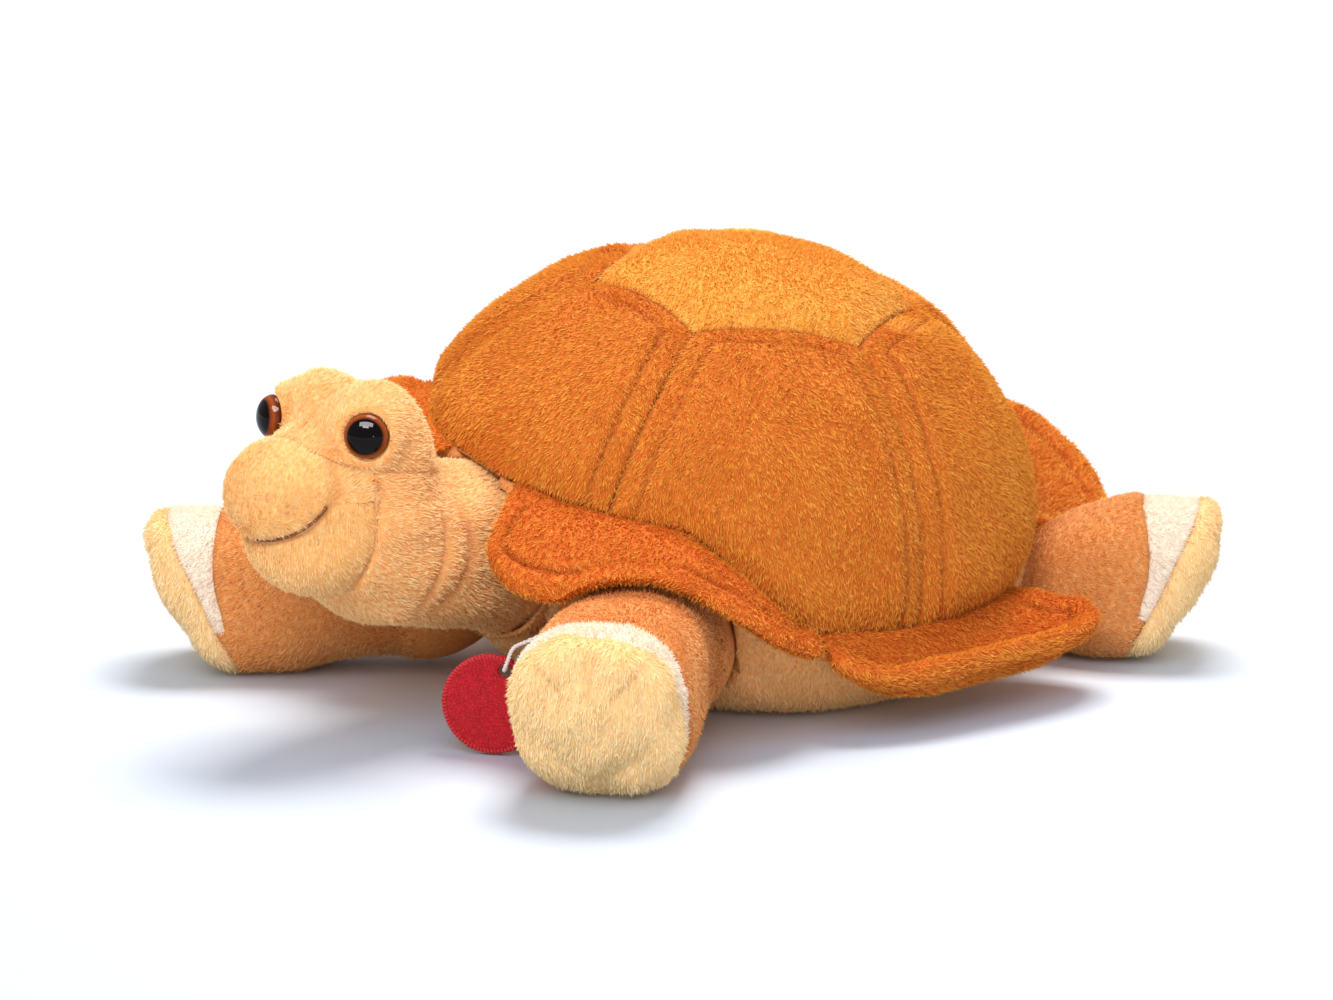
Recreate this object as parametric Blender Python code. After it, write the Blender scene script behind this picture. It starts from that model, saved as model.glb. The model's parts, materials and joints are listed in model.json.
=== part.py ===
# Plush turtle: a stuffed toy sewn from short-pile fabric, with a padded six-sided shell.
# Lengths are metres, +Z is up. The turtle faces -Y and its left side is +X.
# The origin is on the ground, under the middle of the body.

from math import acos, cos, degrees, floor, pi, radians, sin, sqrt

import bmesh
import bpy
from mathutils import Euler, Matrix, Vector

# Fabric, seams and clearances
fabric = 0.0018
seam_gap = 0.0003
seat_gap = 0.0003
slot_gap = 0.0007
socket_gap = 0.0004
filling_room = 0.0011
head_filling_room = 0.0021
ground_flat = 0.0005
merge_gap = 0.000015
sliver_gap = 0.000006

# Shell dome: half of a rolled egg shape
shell_half_width = 0.0880
shell_half_length = 0.1010
shell_rise = 0.0862
shell_middle = Vector((0.0, 0.0067, 0.0381))
shell_roll = radians(12.8)
shell_pitch = radians(-2.2)
panel_count = 6
hexagon_share = 0.50
seam_depth = 0.0028
seam_width = 0.0110

# Base seam of the shell: it arches up over the neck
front_lift = radians(21.0)
side_lift = radians(4.0)
arch_start = radians(42.0)
arch_end = radians(72.0)
rear_arch_lift = radians(7.0)
rear_arch_turn = radians(142.0)
rear_arch_width = radians(18.0)

# Brim petals: padded flaps sewn into the base seam
brim_root = 0.0008
brim_padding = 0.0056
brim_reach = 0.0300
brim_end_share = 0.55
brim_root_share = 0.10

# Belly
belly_half_width = 0.060
belly_half_length = 0.047
belly_middle_y = 0.0150
belly_knee_share = 0.90

# Neck: a ball and collar about one pivot
neck_pivot_back = 0.0139
neck_pivot_height = 0.0455
neck_ball = 0.0233
neck_tube = 0.0225
collar_back_share = 0.78
neck_tunnel = 0.0300

# Head forms: egg shapes that run into each other, placed from the neck pivot and the heart of the head
head_blend = 0.0060
neck_end = Vector((0.0, -0.0380, 0.0075))
head_heart = Vector((0.0, -0.0413, 0.0205))
skull_half = Vector((0.0225, 0.0185, 0.0170))
skull_from_heart = Vector((0.0, -0.0050, 0.0125))
cheek_half = Vector((0.0240, 0.0215, 0.0225))
cheek_from_heart = Vector((0.0, -0.0060, -0.0030))
brow_half = Vector((0.0106, 0.0120, 0.0120))
brow_from_heart = Vector((0.0118, -0.0072, 0.0208))
snout_half = Vector((0.0175, 0.0170, 0.0152))
snout_from_heart = Vector((0.0, -0.0245, 0.0040))
chin_half = Vector((0.0175, 0.0160, 0.0135))
chin_from_heart = Vector((0.0, -0.0195, -0.0090))
head_reach = 0.0900

# Head seams, as directions seen from the heart of the head
muzzle_turn = radians(57.0)
muzzle_lean = radians(16.0)
muzzle_column_gap = radians(6.0)
crown_front_lift = radians(27.0)
crown_back_lift = radians(20.0)
mouth_lift = radians(-13.0)
mouth_corner_lift = radians(9.0)
throat_front_lift = radians(-36.0)

# Eyes: a glossy dome on a post, held by a washer under the skin
eye_radius = 0.0060
eye_dome = 0.0044
eye_post = 0.0013
eye_post_length = 0.0075
eye_turn = radians(51.7)
eye_lift = radians(39.5)
washer_radius = 0.0048
washer_thickness = 0.0010
post_clearance = 0.0003

# Mouth thread
thread_radius = 0.0005
mouth_reach = radians(30.0)

# Legs: padded tubes with a ball root, a leaning sole and a pale toe patch
front_leg_length = 0.0735
rear_leg_length = 0.0600
foot_half_width = 0.0220
foot_half_height = 0.0232
foot_edge = 0.0100
foot_lean_share = 0.45
sole_crown = 0.0035
toe_patch_length = 0.0140
toe_patch_end = 0.0030
toe_patch_turn = radians(105.0)
toe_corner_room = radians(4.0)
toe_corner_gap = radians(1.2)
front_ball = 0.0232
rear_ball = 0.0165
front_root_turn = radians(40.0)
front_root_share = 0.86
front_leg_turn = radians(38.0)
rear_root_turn = radians(142.0)
rear_root_share = 0.86
rear_leg_turn = radians(131.0)
join_share = 0.40
leg_swing_back = radians(6.0)
leg_opening_lean_share = 0.30
leg_opening_reach = 0.0300

# Tag: a felt disc on a cord loop
tag_radius = 0.0135
tag_thickness = 0.0018
tag_hole = 0.0020
tag_hole_margin = 0.0016
tag_ground_gap = 0.0004
tag_along_leg = 0.0280
tag_beside_leg = 0.0364
tag_hole_turn = radians(22.0)
tag_seam_angle = radians(72.0)
tag_seam_rise = radians(7.0)
tag_seam_share = 0.36
loop_radius = 0.0006
loop_rise = 0.0062
loop_pass = 0.0034

# How finely each surface is divided
panel_columns = 7
panel_row_shares = (0.0, 0.08, 0.28, 0.5, 0.72, 0.92, 1.0)
around_leg = 18
around_head = 24
around_collar = 16
around_cord = 6
around_socket = 20
socket_rows = 8
around_eye = 16
eye_rows = 6
around_washer = 14
around_post = 12
around_tag = 24
around_tag_bore = 12
collar_rows = 6
mouth_stations = 15
loop_stations = 25
top_shares = (0.3, 0.6, 0.85, 1.0)
bowl_shares = (0.0, 0.12, 0.28, 0.46, 0.66, 0.86)
petal_out_shares = (0.0, 0.10, 0.22, 0.42, 0.66, 0.86, 0.96)
puffed_share = 0.42
sleeve_shares = (-0.8, -0.55, -0.28, 0.0, 0.3, 0.55, 0.8, 1.0)
patch_shares = (-1.0, -0.75, -0.5, -0.25, 0.0, 0.25, 0.5, 0.75, 1.0)
sole_shares = (0.35, 0.7, 1.0)
crown_shares = (0.0, 0.15, 0.35, 0.55, 0.75, 0.9, 1.0)
cheek_shares = (0.0, 0.25, 0.5, 0.75, 1.0)
chin_shares = (-0.66, -0.33, 0.0, 0.33, 0.66)
muzzle_shares = (-1.0, -0.75, -0.5, -0.25, 0.0, 0.25, 0.5, 0.75, 1.0)
snout_shares = (0.0, 0.25, 0.5, 0.75, 1.0)
chin_row_shares = (0.0, 0.35, 0.7, 1.0)
throat_shares = (0.14, 0.28, 0.38, 0.48, 0.56, 0.64, 0.72, 0.8, 0.88, 1.0)


def clear_scene():
    for item in list(bpy.data.objects):
        bpy.data.objects.remove(item, do_unlink=True)
    for mesh in list(bpy.data.meshes):
        bpy.data.meshes.remove(mesh)


def finish(name, colour, roughness, coat=0.0):
    material = bpy.data.materials.new(name)
    material.use_nodes = True
    shader = material.node_tree.nodes["Principled BSDF"]
    shader.inputs["Base Color"].default_value = (*colour, 1.0)
    shader.inputs["Roughness"].default_value = roughness
    shader.inputs["Metallic"].default_value = 0.0
    shader.inputs["Coat Weight"].default_value = coat
    return material


def solid(name, points, faces, material, parent=None):
    # One closed body from points and faces, its doubled points joined and its faces turned outward.
    mesh = bpy.data.meshes.new(name)
    mesh.from_pydata([tuple(point) for point in points], [], faces)
    shape = bmesh.new()
    shape.from_mesh(mesh)
    bmesh.ops.remove_doubles(shape, verts=shape.verts, dist=merge_gap)
    bmesh.ops.dissolve_degenerate(shape, dist=sliver_gap, edges=shape.edges)
    bmesh.ops.recalc_face_normals(shape, faces=shape.faces)
    shape.to_mesh(mesh)
    shape.free()
    mesh.shade_smooth()
    mesh.set_sharp_from_angle(angle=radians(50.0))
    if material:
        mesh.materials.append(material)
    item = bpy.data.objects.new(name, mesh)
    bpy.context.collection.objects.link(item)
    item.parent = parent
    return item


def pivot(name, place, turn=0.0):
    empty = bpy.data.objects.new(name, None)
    bpy.context.collection.objects.link(empty)
    empty.location = place
    empty.rotation_euler = (0.0, 0.0, turn)
    return empty


def sheet(name, skin, rows, columns, depth, material, parent=None, ring=False):
    # A cloth panel: an outer grid, the same grid below it by the depth, and walls round the edge.
    points = [skin(row, column, 0.0) for row in rows for column in columns]
    points += [skin(row, column, depth) for row in rows for column in columns]
    wide = len(columns)
    below = len(rows) * wide
    spans = wide if ring else wide - 1
    faces = []
    for row in range(len(rows) - 1):
        for column in range(spans):
            after = (column + 1) % wide
            corners = (row * wide + column, row * wide + after,
                       (row + 1) * wide + after, (row + 1) * wide + column)
            faces.append(corners)
            faces.append(tuple(corner + below for corner in reversed(corners)))
    for row in (0, len(rows) - 1):
        for column in range(spans):
            here = row * wide + column
            there = row * wide + (column + 1) % wide
            faces.append((here, there, there + below, here + below))
    if not ring:
        for column in (0, wide - 1):
            for row in range(len(rows) - 1):
                here = row * wide + column
                there = here + wide
                faces.append((here, there, there + below, here + below))
    return solid(name, points, faces, material, parent)


def lathe_rings(name, first, rings, last, material, parent=None):
    # A closed solid through rings of points, closed by a point or by a flat face at each end.
    wide = len(rings[0])
    points = [point for loop in rings for point in loop]
    faces = []
    for row in range(len(rings) - 1):
        for column in range(wide):
            after = (column + 1) % wide
            faces.append((row * wide + column, row * wide + after,
                          (row + 1) * wide + after, (row + 1) * wide + column))
    for row, tip in ((0, first), (len(rings) - 1, last)):
        loop = [row * wide + column for column in range(wide)]
        if tip is None:
            faces.append(loop)
        else:
            points.append(tip)
            faces += [(loop[column], loop[(column + 1) % wide], len(points) - 1) for column in range(wide)]
    return solid(name, points, faces, material, parent)


def turned(profile, count, frame):
    # Rings of points about a frame's Z axis, from a profile of radius and height.
    return [[frame @ Vector((radius * cos(angle), radius * sin(angle), height)) for angle in around(count)]
            for radius, height in profile]


def cutter(name, item):
    item.name = name
    item.hide_render = True
    item.display_type = "WIRE"
    return item


def socket_cutter(name, radius, reach, lean, frame):
    # A ball socket whose mouth opens along the frame's Z axis: its facets lie outside the true ball.
    step = pi / 2.0 / socket_rows
    outside = radius / (cos(pi / around_socket) * cos(step / 2.0))
    profile = [(outside * sin(step * row), -outside * cos(step * row)) for row in range(1, socket_rows + 1)]
    profile.append((outside + reach * lean, reach))
    rings = turned(profile, around_socket, frame)
    return cutter(name, lathe_rings(name, frame @ Vector((0.0, 0.0, -outside)), rings, None, None))


def cut(item, tool):
    step = item.modifiers.new(tool.name, "BOOLEAN")
    step.operation = "DIFFERENCE"
    step.solver = "EXACT"
    step.object = tool


def smooth_step(low, high, value):
    share = min(max((value - low) / (high - low), 0.0), 1.0)
    return share * share * (3.0 - 2.0 * share)


def spread(low, high, count):
    return [low + (high - low) * step / (count - 1) for step in range(count)]


def around(count):
    return [2.0 * pi * step / count for step in range(count)]


# Shell

shell_frame = Matrix.Translation(shell_middle) @ Euler((shell_pitch, shell_roll, 0.0)).to_matrix().to_4x4()
panel_turn = 2.0 * pi / panel_count
root_room = brim_root / 2.0 + slot_gap
shell_turns = [panel_turn * (step / panel_columns + 0.5) for step in range(panel_count * panel_columns)]


def side_of(turn):
    # How far a direction turns away from the front, to either side.
    return abs((turn + pi) % (2.0 * pi) - pi)


def from_edge_middle(turn):
    # Turn measured from the middle of the nearest hexagon side.
    return (turn + panel_turn / 2.0) % panel_turn - panel_turn / 2.0


def hexagon_lift(turn):
    reach = hexagon_share * cos(panel_turn / 2.0) / cos(from_edge_middle(turn))
    return acos(reach)


def base_lift(turn):
    side = side_of(turn)
    lift = front_lift + (side_lift - front_lift) * smooth_step(arch_start, arch_end, side)
    return lift + rear_arch_lift * (1.0 - smooth_step(0.0, rear_arch_width, abs(side - rear_arch_turn)))


def seam_room(turn):
    # Half the slot that the brim's root needs in the base seam, as a lift, also where the seam slopes.
    step = panel_turn / panel_columns / 2.0
    climb = abs(base_lift(turn + step) - base_lift(turn - step)) * shell_rise
    run = 2.0 * step * shell_half_width
    return root_room * sqrt(1.0 + (climb / run) ** 2) / shell_rise


def seam_draw(turn, lift):
    # How far the seams between the panels pull the shell in.
    edge = hexagon_lift(turn)
    nearest = abs(lift - edge) * shell_rise
    if lift < edge:
        spoke = (panel_turn / 2.0 - abs(from_edge_middle(turn))) * cos(lift) * shell_half_width
        nearest = min(nearest, spoke, max(lift - base_lift(turn), 0.0) * shell_rise)
    return seam_depth * (1.0 - smooth_step(0.0, seam_width, nearest))


def shell_skin(turn, lift, depth):
    point = Vector((shell_half_width * cos(lift) * sin(turn),
                    -shell_half_length * cos(lift) * cos(turn),
                    shell_rise * sin(lift)))
    normal = Vector((point.x / shell_half_width ** 2,
                     point.y / shell_half_length ** 2,
                     point.z / shell_rise ** 2)).normalized()
    return point - normal * (depth + seam_draw(turn, lift))


def make_shell(orange, shell_empty):
    half_gap = seam_gap / 2.0

    def top_skin(share, turn, depth):
        edge = hexagon_lift(turn) + half_gap / shell_rise
        lift = pi / 2.0 - (pi / 2.0 - edge) * share
        return shell_skin(turn, lift, depth)

    rings = [[top_skin(share, turn, 0.0) for turn in shell_turns] for share in top_shares]
    under = [[top_skin(share, turn, fabric) for turn in shell_turns] for share in top_shares[::-1]]
    lathe_rings("shell_top_panel", shell_skin(0.0, pi / 2.0, 0.0), rings + under,
                shell_skin(0.0, pi / 2.0, fabric), orange, shell_empty)

    names = ("front", "front_left", "rear_left", "rear", "rear_right", "front_right")
    for index, name in enumerate(names):
        first = index * panel_turn - panel_turn / 2.0

        def side_skin(share, across, depth, first=first):
            trim = half_gap / shell_half_width
            turn = first + trim + (panel_turn - 2.0 * trim) * across
            high = hexagon_lift(turn) - half_gap / shell_rise
            low = base_lift(turn) + seam_room(turn)
            return shell_skin(turn, high + (low - high) * share, depth)

        sheet("shell_panel_" + name, side_skin, panel_row_shares, spread(0.0, 1.0, panel_columns + 1),
              fabric, orange, shell_empty)


# Brim petals

petal_shares = (
    # name, first and last turn, lean of the two ends, then at the first, middle and last station
    # the reach and the rise of the rim, and how far the flap sags between: shares of the brim's reach
    ("front_left", 11.0, 69.0, (4.0, 0.0), (1.04, 0.82, 0.55), (-0.78, -0.36, -0.10), 0.0),
    ("rear_left", 71.0, 121.0, (0.0, 0.0), (0.70, 0.72, 1.34), (-0.20, 0.06, 0.12), 0.37),
    ("rear", 151.5, 208.5, (0.0, 0.0), (1.48, 1.28, 1.40), (-0.46, 0.50, 0.05), 0.05),
    ("rear_right", 239.0, 289.0, (0.0, 0.0), (1.30, 0.80, 0.70), (-0.30, -0.20, -0.20), 0.15),
    ("front_right", 291.0, 349.0, (0.0, -9.0), (0.55, 0.80, 1.00), (-0.20, -0.40, -1.00), 0.0),
)


def through(shares, along):
    # A smooth curve through a first, a middle and a last value.
    first, middle, last = shares
    return (first * (1.0 - along) * (1.0 - 2.0 * along) + middle * 4.0 * along * (1.0 - along)
            + last * along * (2.0 * along - 1.0))


def seam_line(turn):
    # The base seam as straight stitches between the shell's division lines.
    step = panel_turn / panel_columns
    count = (turn - panel_turn / 2.0) / step
    before = panel_turn / 2.0 + step * floor(count)
    start = shell_skin(before, base_lift(before), 0.0)
    end = shell_skin(before + step, base_lift(before + step), 0.0)
    return start.lerp(end, count - floor(count))


def petal_middle(petal, along, out):
    # A point midway through a petal's padding: along its seam, and out from the seam to the rim.
    name, first, last, leans, reaches, rises, sag = petal
    free = max(out - brim_root_share, 0.0) / (1.0 - brim_root_share)
    seam_turn = first + (last - first) * along
    turn = radians(seam_turn + (leans[0] * (1.0 - along) + leans[1] * along) * free)
    seam = shell_skin(turn, base_lift(radians(seam_turn)), 0.0)
    seam += seam_line(radians(seam_turn)) - shell_skin(radians(seam_turn), base_lift(radians(seam_turn)), 0.0)
    away = Vector((sin(turn) / shell_half_width, -cos(turn) / shell_half_length, 0.0)).normalized()
    ends = brim_end_share + (1.0 - brim_end_share) * (1.0 - abs(2.0 * along - 1.0) ** 4)
    tucked = fabric - seat_gap
    reach = (brim_reach * through(reaches, along) * ends + tucked) * out - tucked
    sag *= 4.0 * free * (1.0 - free) * (1.0 - abs(2.0 * along - 1.0) ** 4)
    rise = brim_reach * ends * (through(rises, along) * free - sag)
    point = shell_frame @ (seam + away * reach + Vector((0.0, 0.0, rise)))
    if free > 0.0:
        point.z = max(point.z, leg_top(point))
    return point


def petal_stations(petal):
    # The petal's ends, and every line of the shell's own division between them.
    name, first, last = petal[:3]
    step = 360.0 / (panel_count * panel_columns)
    lines = [degrees(turn) % 360.0 for turn in shell_turns]
    inside = [line for line in lines if first + step * 0.3 < line < last - step * 0.3]
    near_ends = [first + step * 0.2, last - step * 0.2]
    return [(turn - first) / (last - first) for turn in sorted([first, last] + near_ends + inside)]


def petal_ring(petal, along):
    thin_end = 0.5 + 0.5 * (1.0 - abs(2.0 * along - 1.0) ** 3)
    upper = []
    lower = []
    for out in petal_out_shares:
        here = petal_middle(petal, along, out)
        ahead = petal_middle(petal, along, out + 0.01) - petal_middle(petal, along, out - 0.01)
        beside = petal_middle(petal, along + 0.01, out) - petal_middle(petal, along - 0.01, out)
        normal = ahead.cross(beside).normalized()
        if normal.z < 0.0:
            normal = -normal
        puff = smooth_step(brim_root_share, puffed_share, out) * thin_end
        half = (brim_root + (brim_padding - brim_root) * puff) / 2.0
        if out == petal_out_shares[-1]:
            half *= 0.72
        upper.append(here + normal * half)
        lower.append(here - normal * half)
    return upper + [petal_middle(petal, along, 1.0)] + lower[::-1]


def make_brim(deep_orange):
    for petal in petal_shares:
        rings = [petal_ring(petal, along) for along in petal_stations(petal)]
        lathe_rings("brim_petal_" + petal[0], None, rings, None, deep_orange)


# Belly casing and the stuffing inside the body

def bowl_curve(turn, share):
    top = shell_frame @ shell_skin(turn, base_lift(turn) - seam_room(turn), 0.0)
    foot = Vector((belly_half_width * sin(turn), belly_middle_y - belly_half_length * cos(turn), -ground_flat))
    knee = foot + (top - foot) * belly_knee_share
    knee.z = -ground_flat
    return top * (1.0 - share) ** 2 + knee * 2.0 * share * (1.0 - share) + foot * share ** 2


def bowl_skin(share, turn, depth):
    if share == 0.0:
        return shell_frame @ shell_skin(turn, base_lift(turn) - seam_room(turn), depth)
    here = bowl_curve(turn, share)
    step = 0.01
    down = bowl_curve(turn, share + step) - bowl_curve(turn, share - step)
    side = bowl_curve(turn + step, share) - bowl_curve(turn - step, share)
    here -= side.cross(down).normalized() * -depth
    here.z = max(here.z, depth)
    return here


def make_body(peach, filling):
    turns = shell_turns
    middle = Vector((0.0, belly_middle_y, 0.0))
    inside = Vector((0.0, belly_middle_y, fabric))
    outer = [[bowl_skin(share, turn, 0.0) for turn in turns] for share in bowl_shares]
    inner = [[bowl_skin(share, turn, fabric) for turn in turns] for share in bowl_shares]
    flat = [[middle.lerp(point, 0.5) for point in outer[-1]]]
    flat_inside = [[inside.lerp(point, 0.5) for point in inner[-1]]]
    shell = lathe_rings("body_casing", middle, (outer + flat)[::-1] + inner + flat_inside, inside, peach)

    deep = fabric + seat_gap + filling_room
    heart = shell_frame @ shell_skin(0.0, pi / 2.0, deep)
    rings = [[shell_frame @ shell_skin(turn, pi / 2.0 - (pi / 2.0 - hexagon_lift(turn)) * share, deep)
              for turn in turns] for share in top_shares]
    for share in panel_row_shares[1:]:
        rings.append([])
        for turn in turns:
            high = hexagon_lift(turn)
            low = base_lift(turn) + seam_room(turn)
            rings[-1].append(shell_frame @ shell_skin(turn, high + (low - high) * share, deep))
    rings += [[bowl_skin(share, turn, deep) for turn in turns] for share in bowl_shares]
    core = lathe_rings("body_stuffing", heart, rings, Vector((0.0, belly_middle_y, deep)), filling)
    return shell, core


# Legs

def leg_places():
    # Name, side, root radius, length, place of the root and heading of each leg.
    places = []
    for end, ball, length, turn, share, heading in (
            ("front", front_ball, front_leg_length, front_root_turn, front_root_share, front_leg_turn),
            ("rear", rear_ball, rear_leg_length, rear_root_turn, rear_root_share, rear_leg_turn)):
        for side, hand in ((1.0, "left"), (-1.0, "right")):
            root = Vector((side * shell_half_width * share * sin(turn),
                           shell_middle.y - shell_half_length * share * cos(turn), ball + fabric))
            places.append((end + "_" + hand, side, ball, length, root, side * heading - pi / 2.0))
    return places


def leg_ring(ball, length, height, place, depth):
    # One ring round a leg: place is below 0 on the ball root, 0 to 1 on the tube, above 1 on the sole.
    join = ball * join_share
    side_end = length - foot_edge
    foot_height = foot_half_height - ground_flat
    if place < 0.0:
        swing = pi + (acos(join_share) - pi) * (1.0 + place)
        along = (ball - depth) * cos(swing)
        width = (ball - depth) * sin(swing)
        return along, width, width, 0.0, 2.0, 0.0
    if place <= 1.0:
        grow = smooth_step(0.0, 0.7, place)
        start = sqrt(ball ** 2 - join ** 2)
        width = start + (foot_half_width - start) * grow - depth
        tall = start + (foot_half_height - start) * grow - depth
        lean = foot_lean_share * smooth_step(0.35, 1.0, place)
        along = join + (side_end - join) * place
        return along, width, tall, (foot_height - height) * grow, 2.0 + 0.6 * grow, lean
    swing = (place - 1.0) * pi / 2.0
    inset = foot_edge * (1.0 - cos(swing))
    along = side_end + (foot_edge - depth) * sin(swing)
    return (along, foot_half_width - depth - inset, foot_half_height - depth - inset,
            foot_height - height, 2.6, foot_lean_share)


def leg_point(ring, angle, height, depth):
    along, width, tall, middle, power, lean = ring
    side = sin(angle)
    up = cos(angle)
    side = (1.0 if side >= 0.0 else -1.0) * abs(side) ** (2.0 / power)
    up = (1.0 if up >= 0.0 else -1.0) * abs(up) ** (2.0 / power)
    point = Vector((along + lean * tall * up, width * side, middle + tall * up))
    point.z = max(point.z, depth - height)
    return point


def leg_top(point):
    # The lowest height at which brim padding clears the legs below it, also when a leg swings back.
    room = brim_padding / 2.0 + 3.0 * slot_gap
    lowest = -brim_reach
    for name, side, ball, length, root, heading in leg_places():
        back = leg_swing_back if name.startswith("front") else -leg_swing_back
        for swing in (0.0, side * back / 2.0, side * back):
            local = Matrix.Rotation(-heading - swing, 4, "Z") @ (Vector((point.x, point.y, 0.0)) - root)
            place = (local.x - ball * join_share) / (length - foot_edge - ball * join_share)
            if local.x < -ball or place > 1.0:
                continue
            if place < 0.0:
                width = tall = sqrt(max(ball ** 2 - local.x ** 2, 0.0))
                middle = 0.0
            else:
                along, width, tall, middle, power, lean = leg_ring(ball, length, root.z, place, 0.0)
            if abs(local.y) < width + room:
                bulge = sqrt(1.0 - (local.y / (width + room)) ** 2)
                lowest = max(lowest, root.z + middle + (tall + room) * bulge)
    return lowest


def toe_edge(angle, length):
    # How far back from the sole's edge the pale patch reaches, as a share of the tube.
    side = abs((angle + pi) % (2.0 * pi) - pi)
    if side > toe_patch_turn:
        return 0.0
    reach = toe_patch_end + (toe_patch_length - toe_patch_end) * cos(side / toe_patch_turn * pi / 2.0)
    return reach / (length - foot_edge)


def make_leg(name, ball, length, empty, height, fabrics, filling):
    tan, cream, pale = fabrics
    deep = fabric + seat_gap + filling_room
    trim = seam_gap / length
    angles = [angle for angle in around(around_leg)
              if abs(abs((angle + pi) % (2.0 * pi) - pi) - toe_patch_turn) > toe_corner_room]
    corners = (toe_patch_turn - toe_corner_gap / 2.0, toe_patch_turn + toe_corner_gap)
    angles += [corner for corner in corners] + [2.0 * pi - corner for corner in corners]
    angles.sort()

    def skin(place, angle, depth):
        return leg_point(leg_ring(ball, length, height, place, depth), angle, height, depth)

    def sleeve_skin(share, angle, depth):
        if share < 0.0:
            return skin(share, angle, depth)
        end = 1.0 - toe_edge(angle, length) - trim
        return skin(end * share, angle, depth)

    outer = [[sleeve_skin(place, angle, 0.0) for angle in angles] for place in sleeve_shares]
    inner = [[sleeve_skin(place, angle, fabric) for angle in angles] for place in sleeve_shares]
    first = Vector((-ball, 0.0, 0.0))
    second = Vector((-ball + fabric, 0.0, 0.0))
    lathe_rings(name + "_sleeve", first, outer + inner[::-1], second, tan, empty)

    patch_angles = [toe_patch_turn * share for share in patch_shares]
    patch_angles[0] += toe_corner_gap
    patch_angles[-1] -= toe_corner_gap

    def patch_skin(share, angle, depth):
        return skin(1.0 - toe_edge(angle, length) * (1.0 - share), angle, depth)

    sheet(name + "_toe_patch", patch_skin, (0.0, 0.5, 1.0), patch_angles, fabric, pale, empty)

    sole_middle = Vector((length + sole_crown, 0.0, foot_half_height - ground_flat - height))
    sole_inside = sole_middle - Vector((fabric, 0.0, 0.0))
    sole_places = [1.0 + trim] + [1.0 + share for share in sole_shares]
    outer = [[skin(place, angle, 0.0) for angle in angles] for place in sole_places]
    inner = [[skin(place, angle, fabric) for angle in angles] for place in sole_places]
    half = [[point.lerp(sole_middle, 0.5) + Vector((sole_crown * 0.25, 0.0, 0.0)) for point in outer[-1]]]
    half_inside = [[point.lerp(sole_inside, 0.5) + Vector((sole_crown * 0.25, 0.0, 0.0)) for point in inner[-1]]]
    lathe_rings(name + "_sole", sole_middle, (outer + half)[::-1] + inner + half_inside, sole_inside,
                cream, empty)

    rings = [[skin(place, angle, deep) for angle in angles[::2]]
             for place in list(sleeve_shares) + sole_places[1:]]
    lathe_rings(name + "_stuffing", Vector((-ball + deep, 0.0, 0.0)), rings,
                sole_middle - Vector((deep, 0.0, 0.0)), filling, empty)


# Head

def egg_distance(point, middle, half):
    local = point - middle
    scaled = Vector((local.x / half.x, local.y / half.y, local.z / half.z)).length
    steep = Vector((local.x / half.x ** 2, local.y / half.y ** 2, local.z / half.z ** 2)).length
    if steep == 0.0:
        return -min(half)
    return scaled * (scaled - 1.0) / steep


def blend_distance(one, other, width):
    share = max(width - abs(one - other), 0.0) / width
    return min(one, other) - share * share * width / 4.0


def head_distance(point):
    # Distance from the head's skin: egg shapes that run into each other. The pivot is at the origin.
    left = Vector((abs(point.x), point.y, point.z))
    distance = egg_distance(point, head_heart + skull_from_heart, skull_half)
    distance = blend_distance(distance, egg_distance(point, head_heart + cheek_from_heart, cheek_half), head_blend)
    distance = blend_distance(distance, egg_distance(left, head_heart + brow_from_heart, brow_half), head_blend)
    muzzle = blend_distance(egg_distance(point, head_heart + snout_from_heart, snout_half),
                            egg_distance(point, head_heart + chin_from_heart, chin_half), head_blend / 2.0)
    distance = blend_distance(distance, muzzle, head_blend)
    share = min(max(point.dot(neck_end) / neck_end.length_squared, 0.0), 1.0)
    neck = (point - neck_end * share).length - neck_ball + (neck_ball - neck_tube) * min(share * 4.0, 1.0)
    return blend_distance(distance, neck, head_blend)


head_cache = {}


def head_skin(lift, turn, depth):
    # The skin of the head along a direction from its heart: turn from the nose to the left, lift upward.
    key = (round(lift, 6), round(turn, 6))
    direction = Vector((cos(lift) * sin(turn), -cos(lift) * cos(turn), sin(lift)))
    if key not in head_cache:
        inside = 0.0
        outside = head_reach
        for step in range(40):
            reach = outside - head_distance(head_heart + direction * outside)
            if outside - reach < seam_gap * 0.001:
                break
            outside = max(reach, inside)
        place = head_heart + direction * outside
        tiny = seam_gap
        normal = Vector([head_distance(place + axis * tiny) - head_distance(place - axis * tiny)
                         for axis in (Vector((1.0, 0.0, 0.0)), Vector((0.0, 1.0, 0.0)), Vector((0.0, 0.0, 1.0)))])
        head_cache[key] = (place, normal.normalized())
    place, normal = head_cache[key]
    return place - normal * depth


def crown_low(turn):
    # The seam under the crown: over the muzzle, under the brows and round the back.
    return crown_front_lift + (crown_back_lift - crown_front_lift) * smooth_step(0.0, pi, side_of(turn))


def throat_high(turn):
    # The top seam of the throat: under the chin, up the cheek seam, then along the crown seam.
    side = side_of(turn)
    if side >= muzzle_turn:
        return crown_low(turn)
    share = max((side - muzzle_turn + muzzle_lean) / muzzle_lean, 0.0)
    return throat_front_lift + (crown_low(muzzle_turn) - throat_front_lift) * share


def muzzle_edge(lift):
    # The turn at which the cheek seam crosses a lift: it leans inward on its way down.
    share = min(max((lift - throat_front_lift) / (crown_low(muzzle_turn) - throat_front_lift), 0.0), 1.0)
    return muzzle_turn - muzzle_lean * (1.0 - share)


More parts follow.
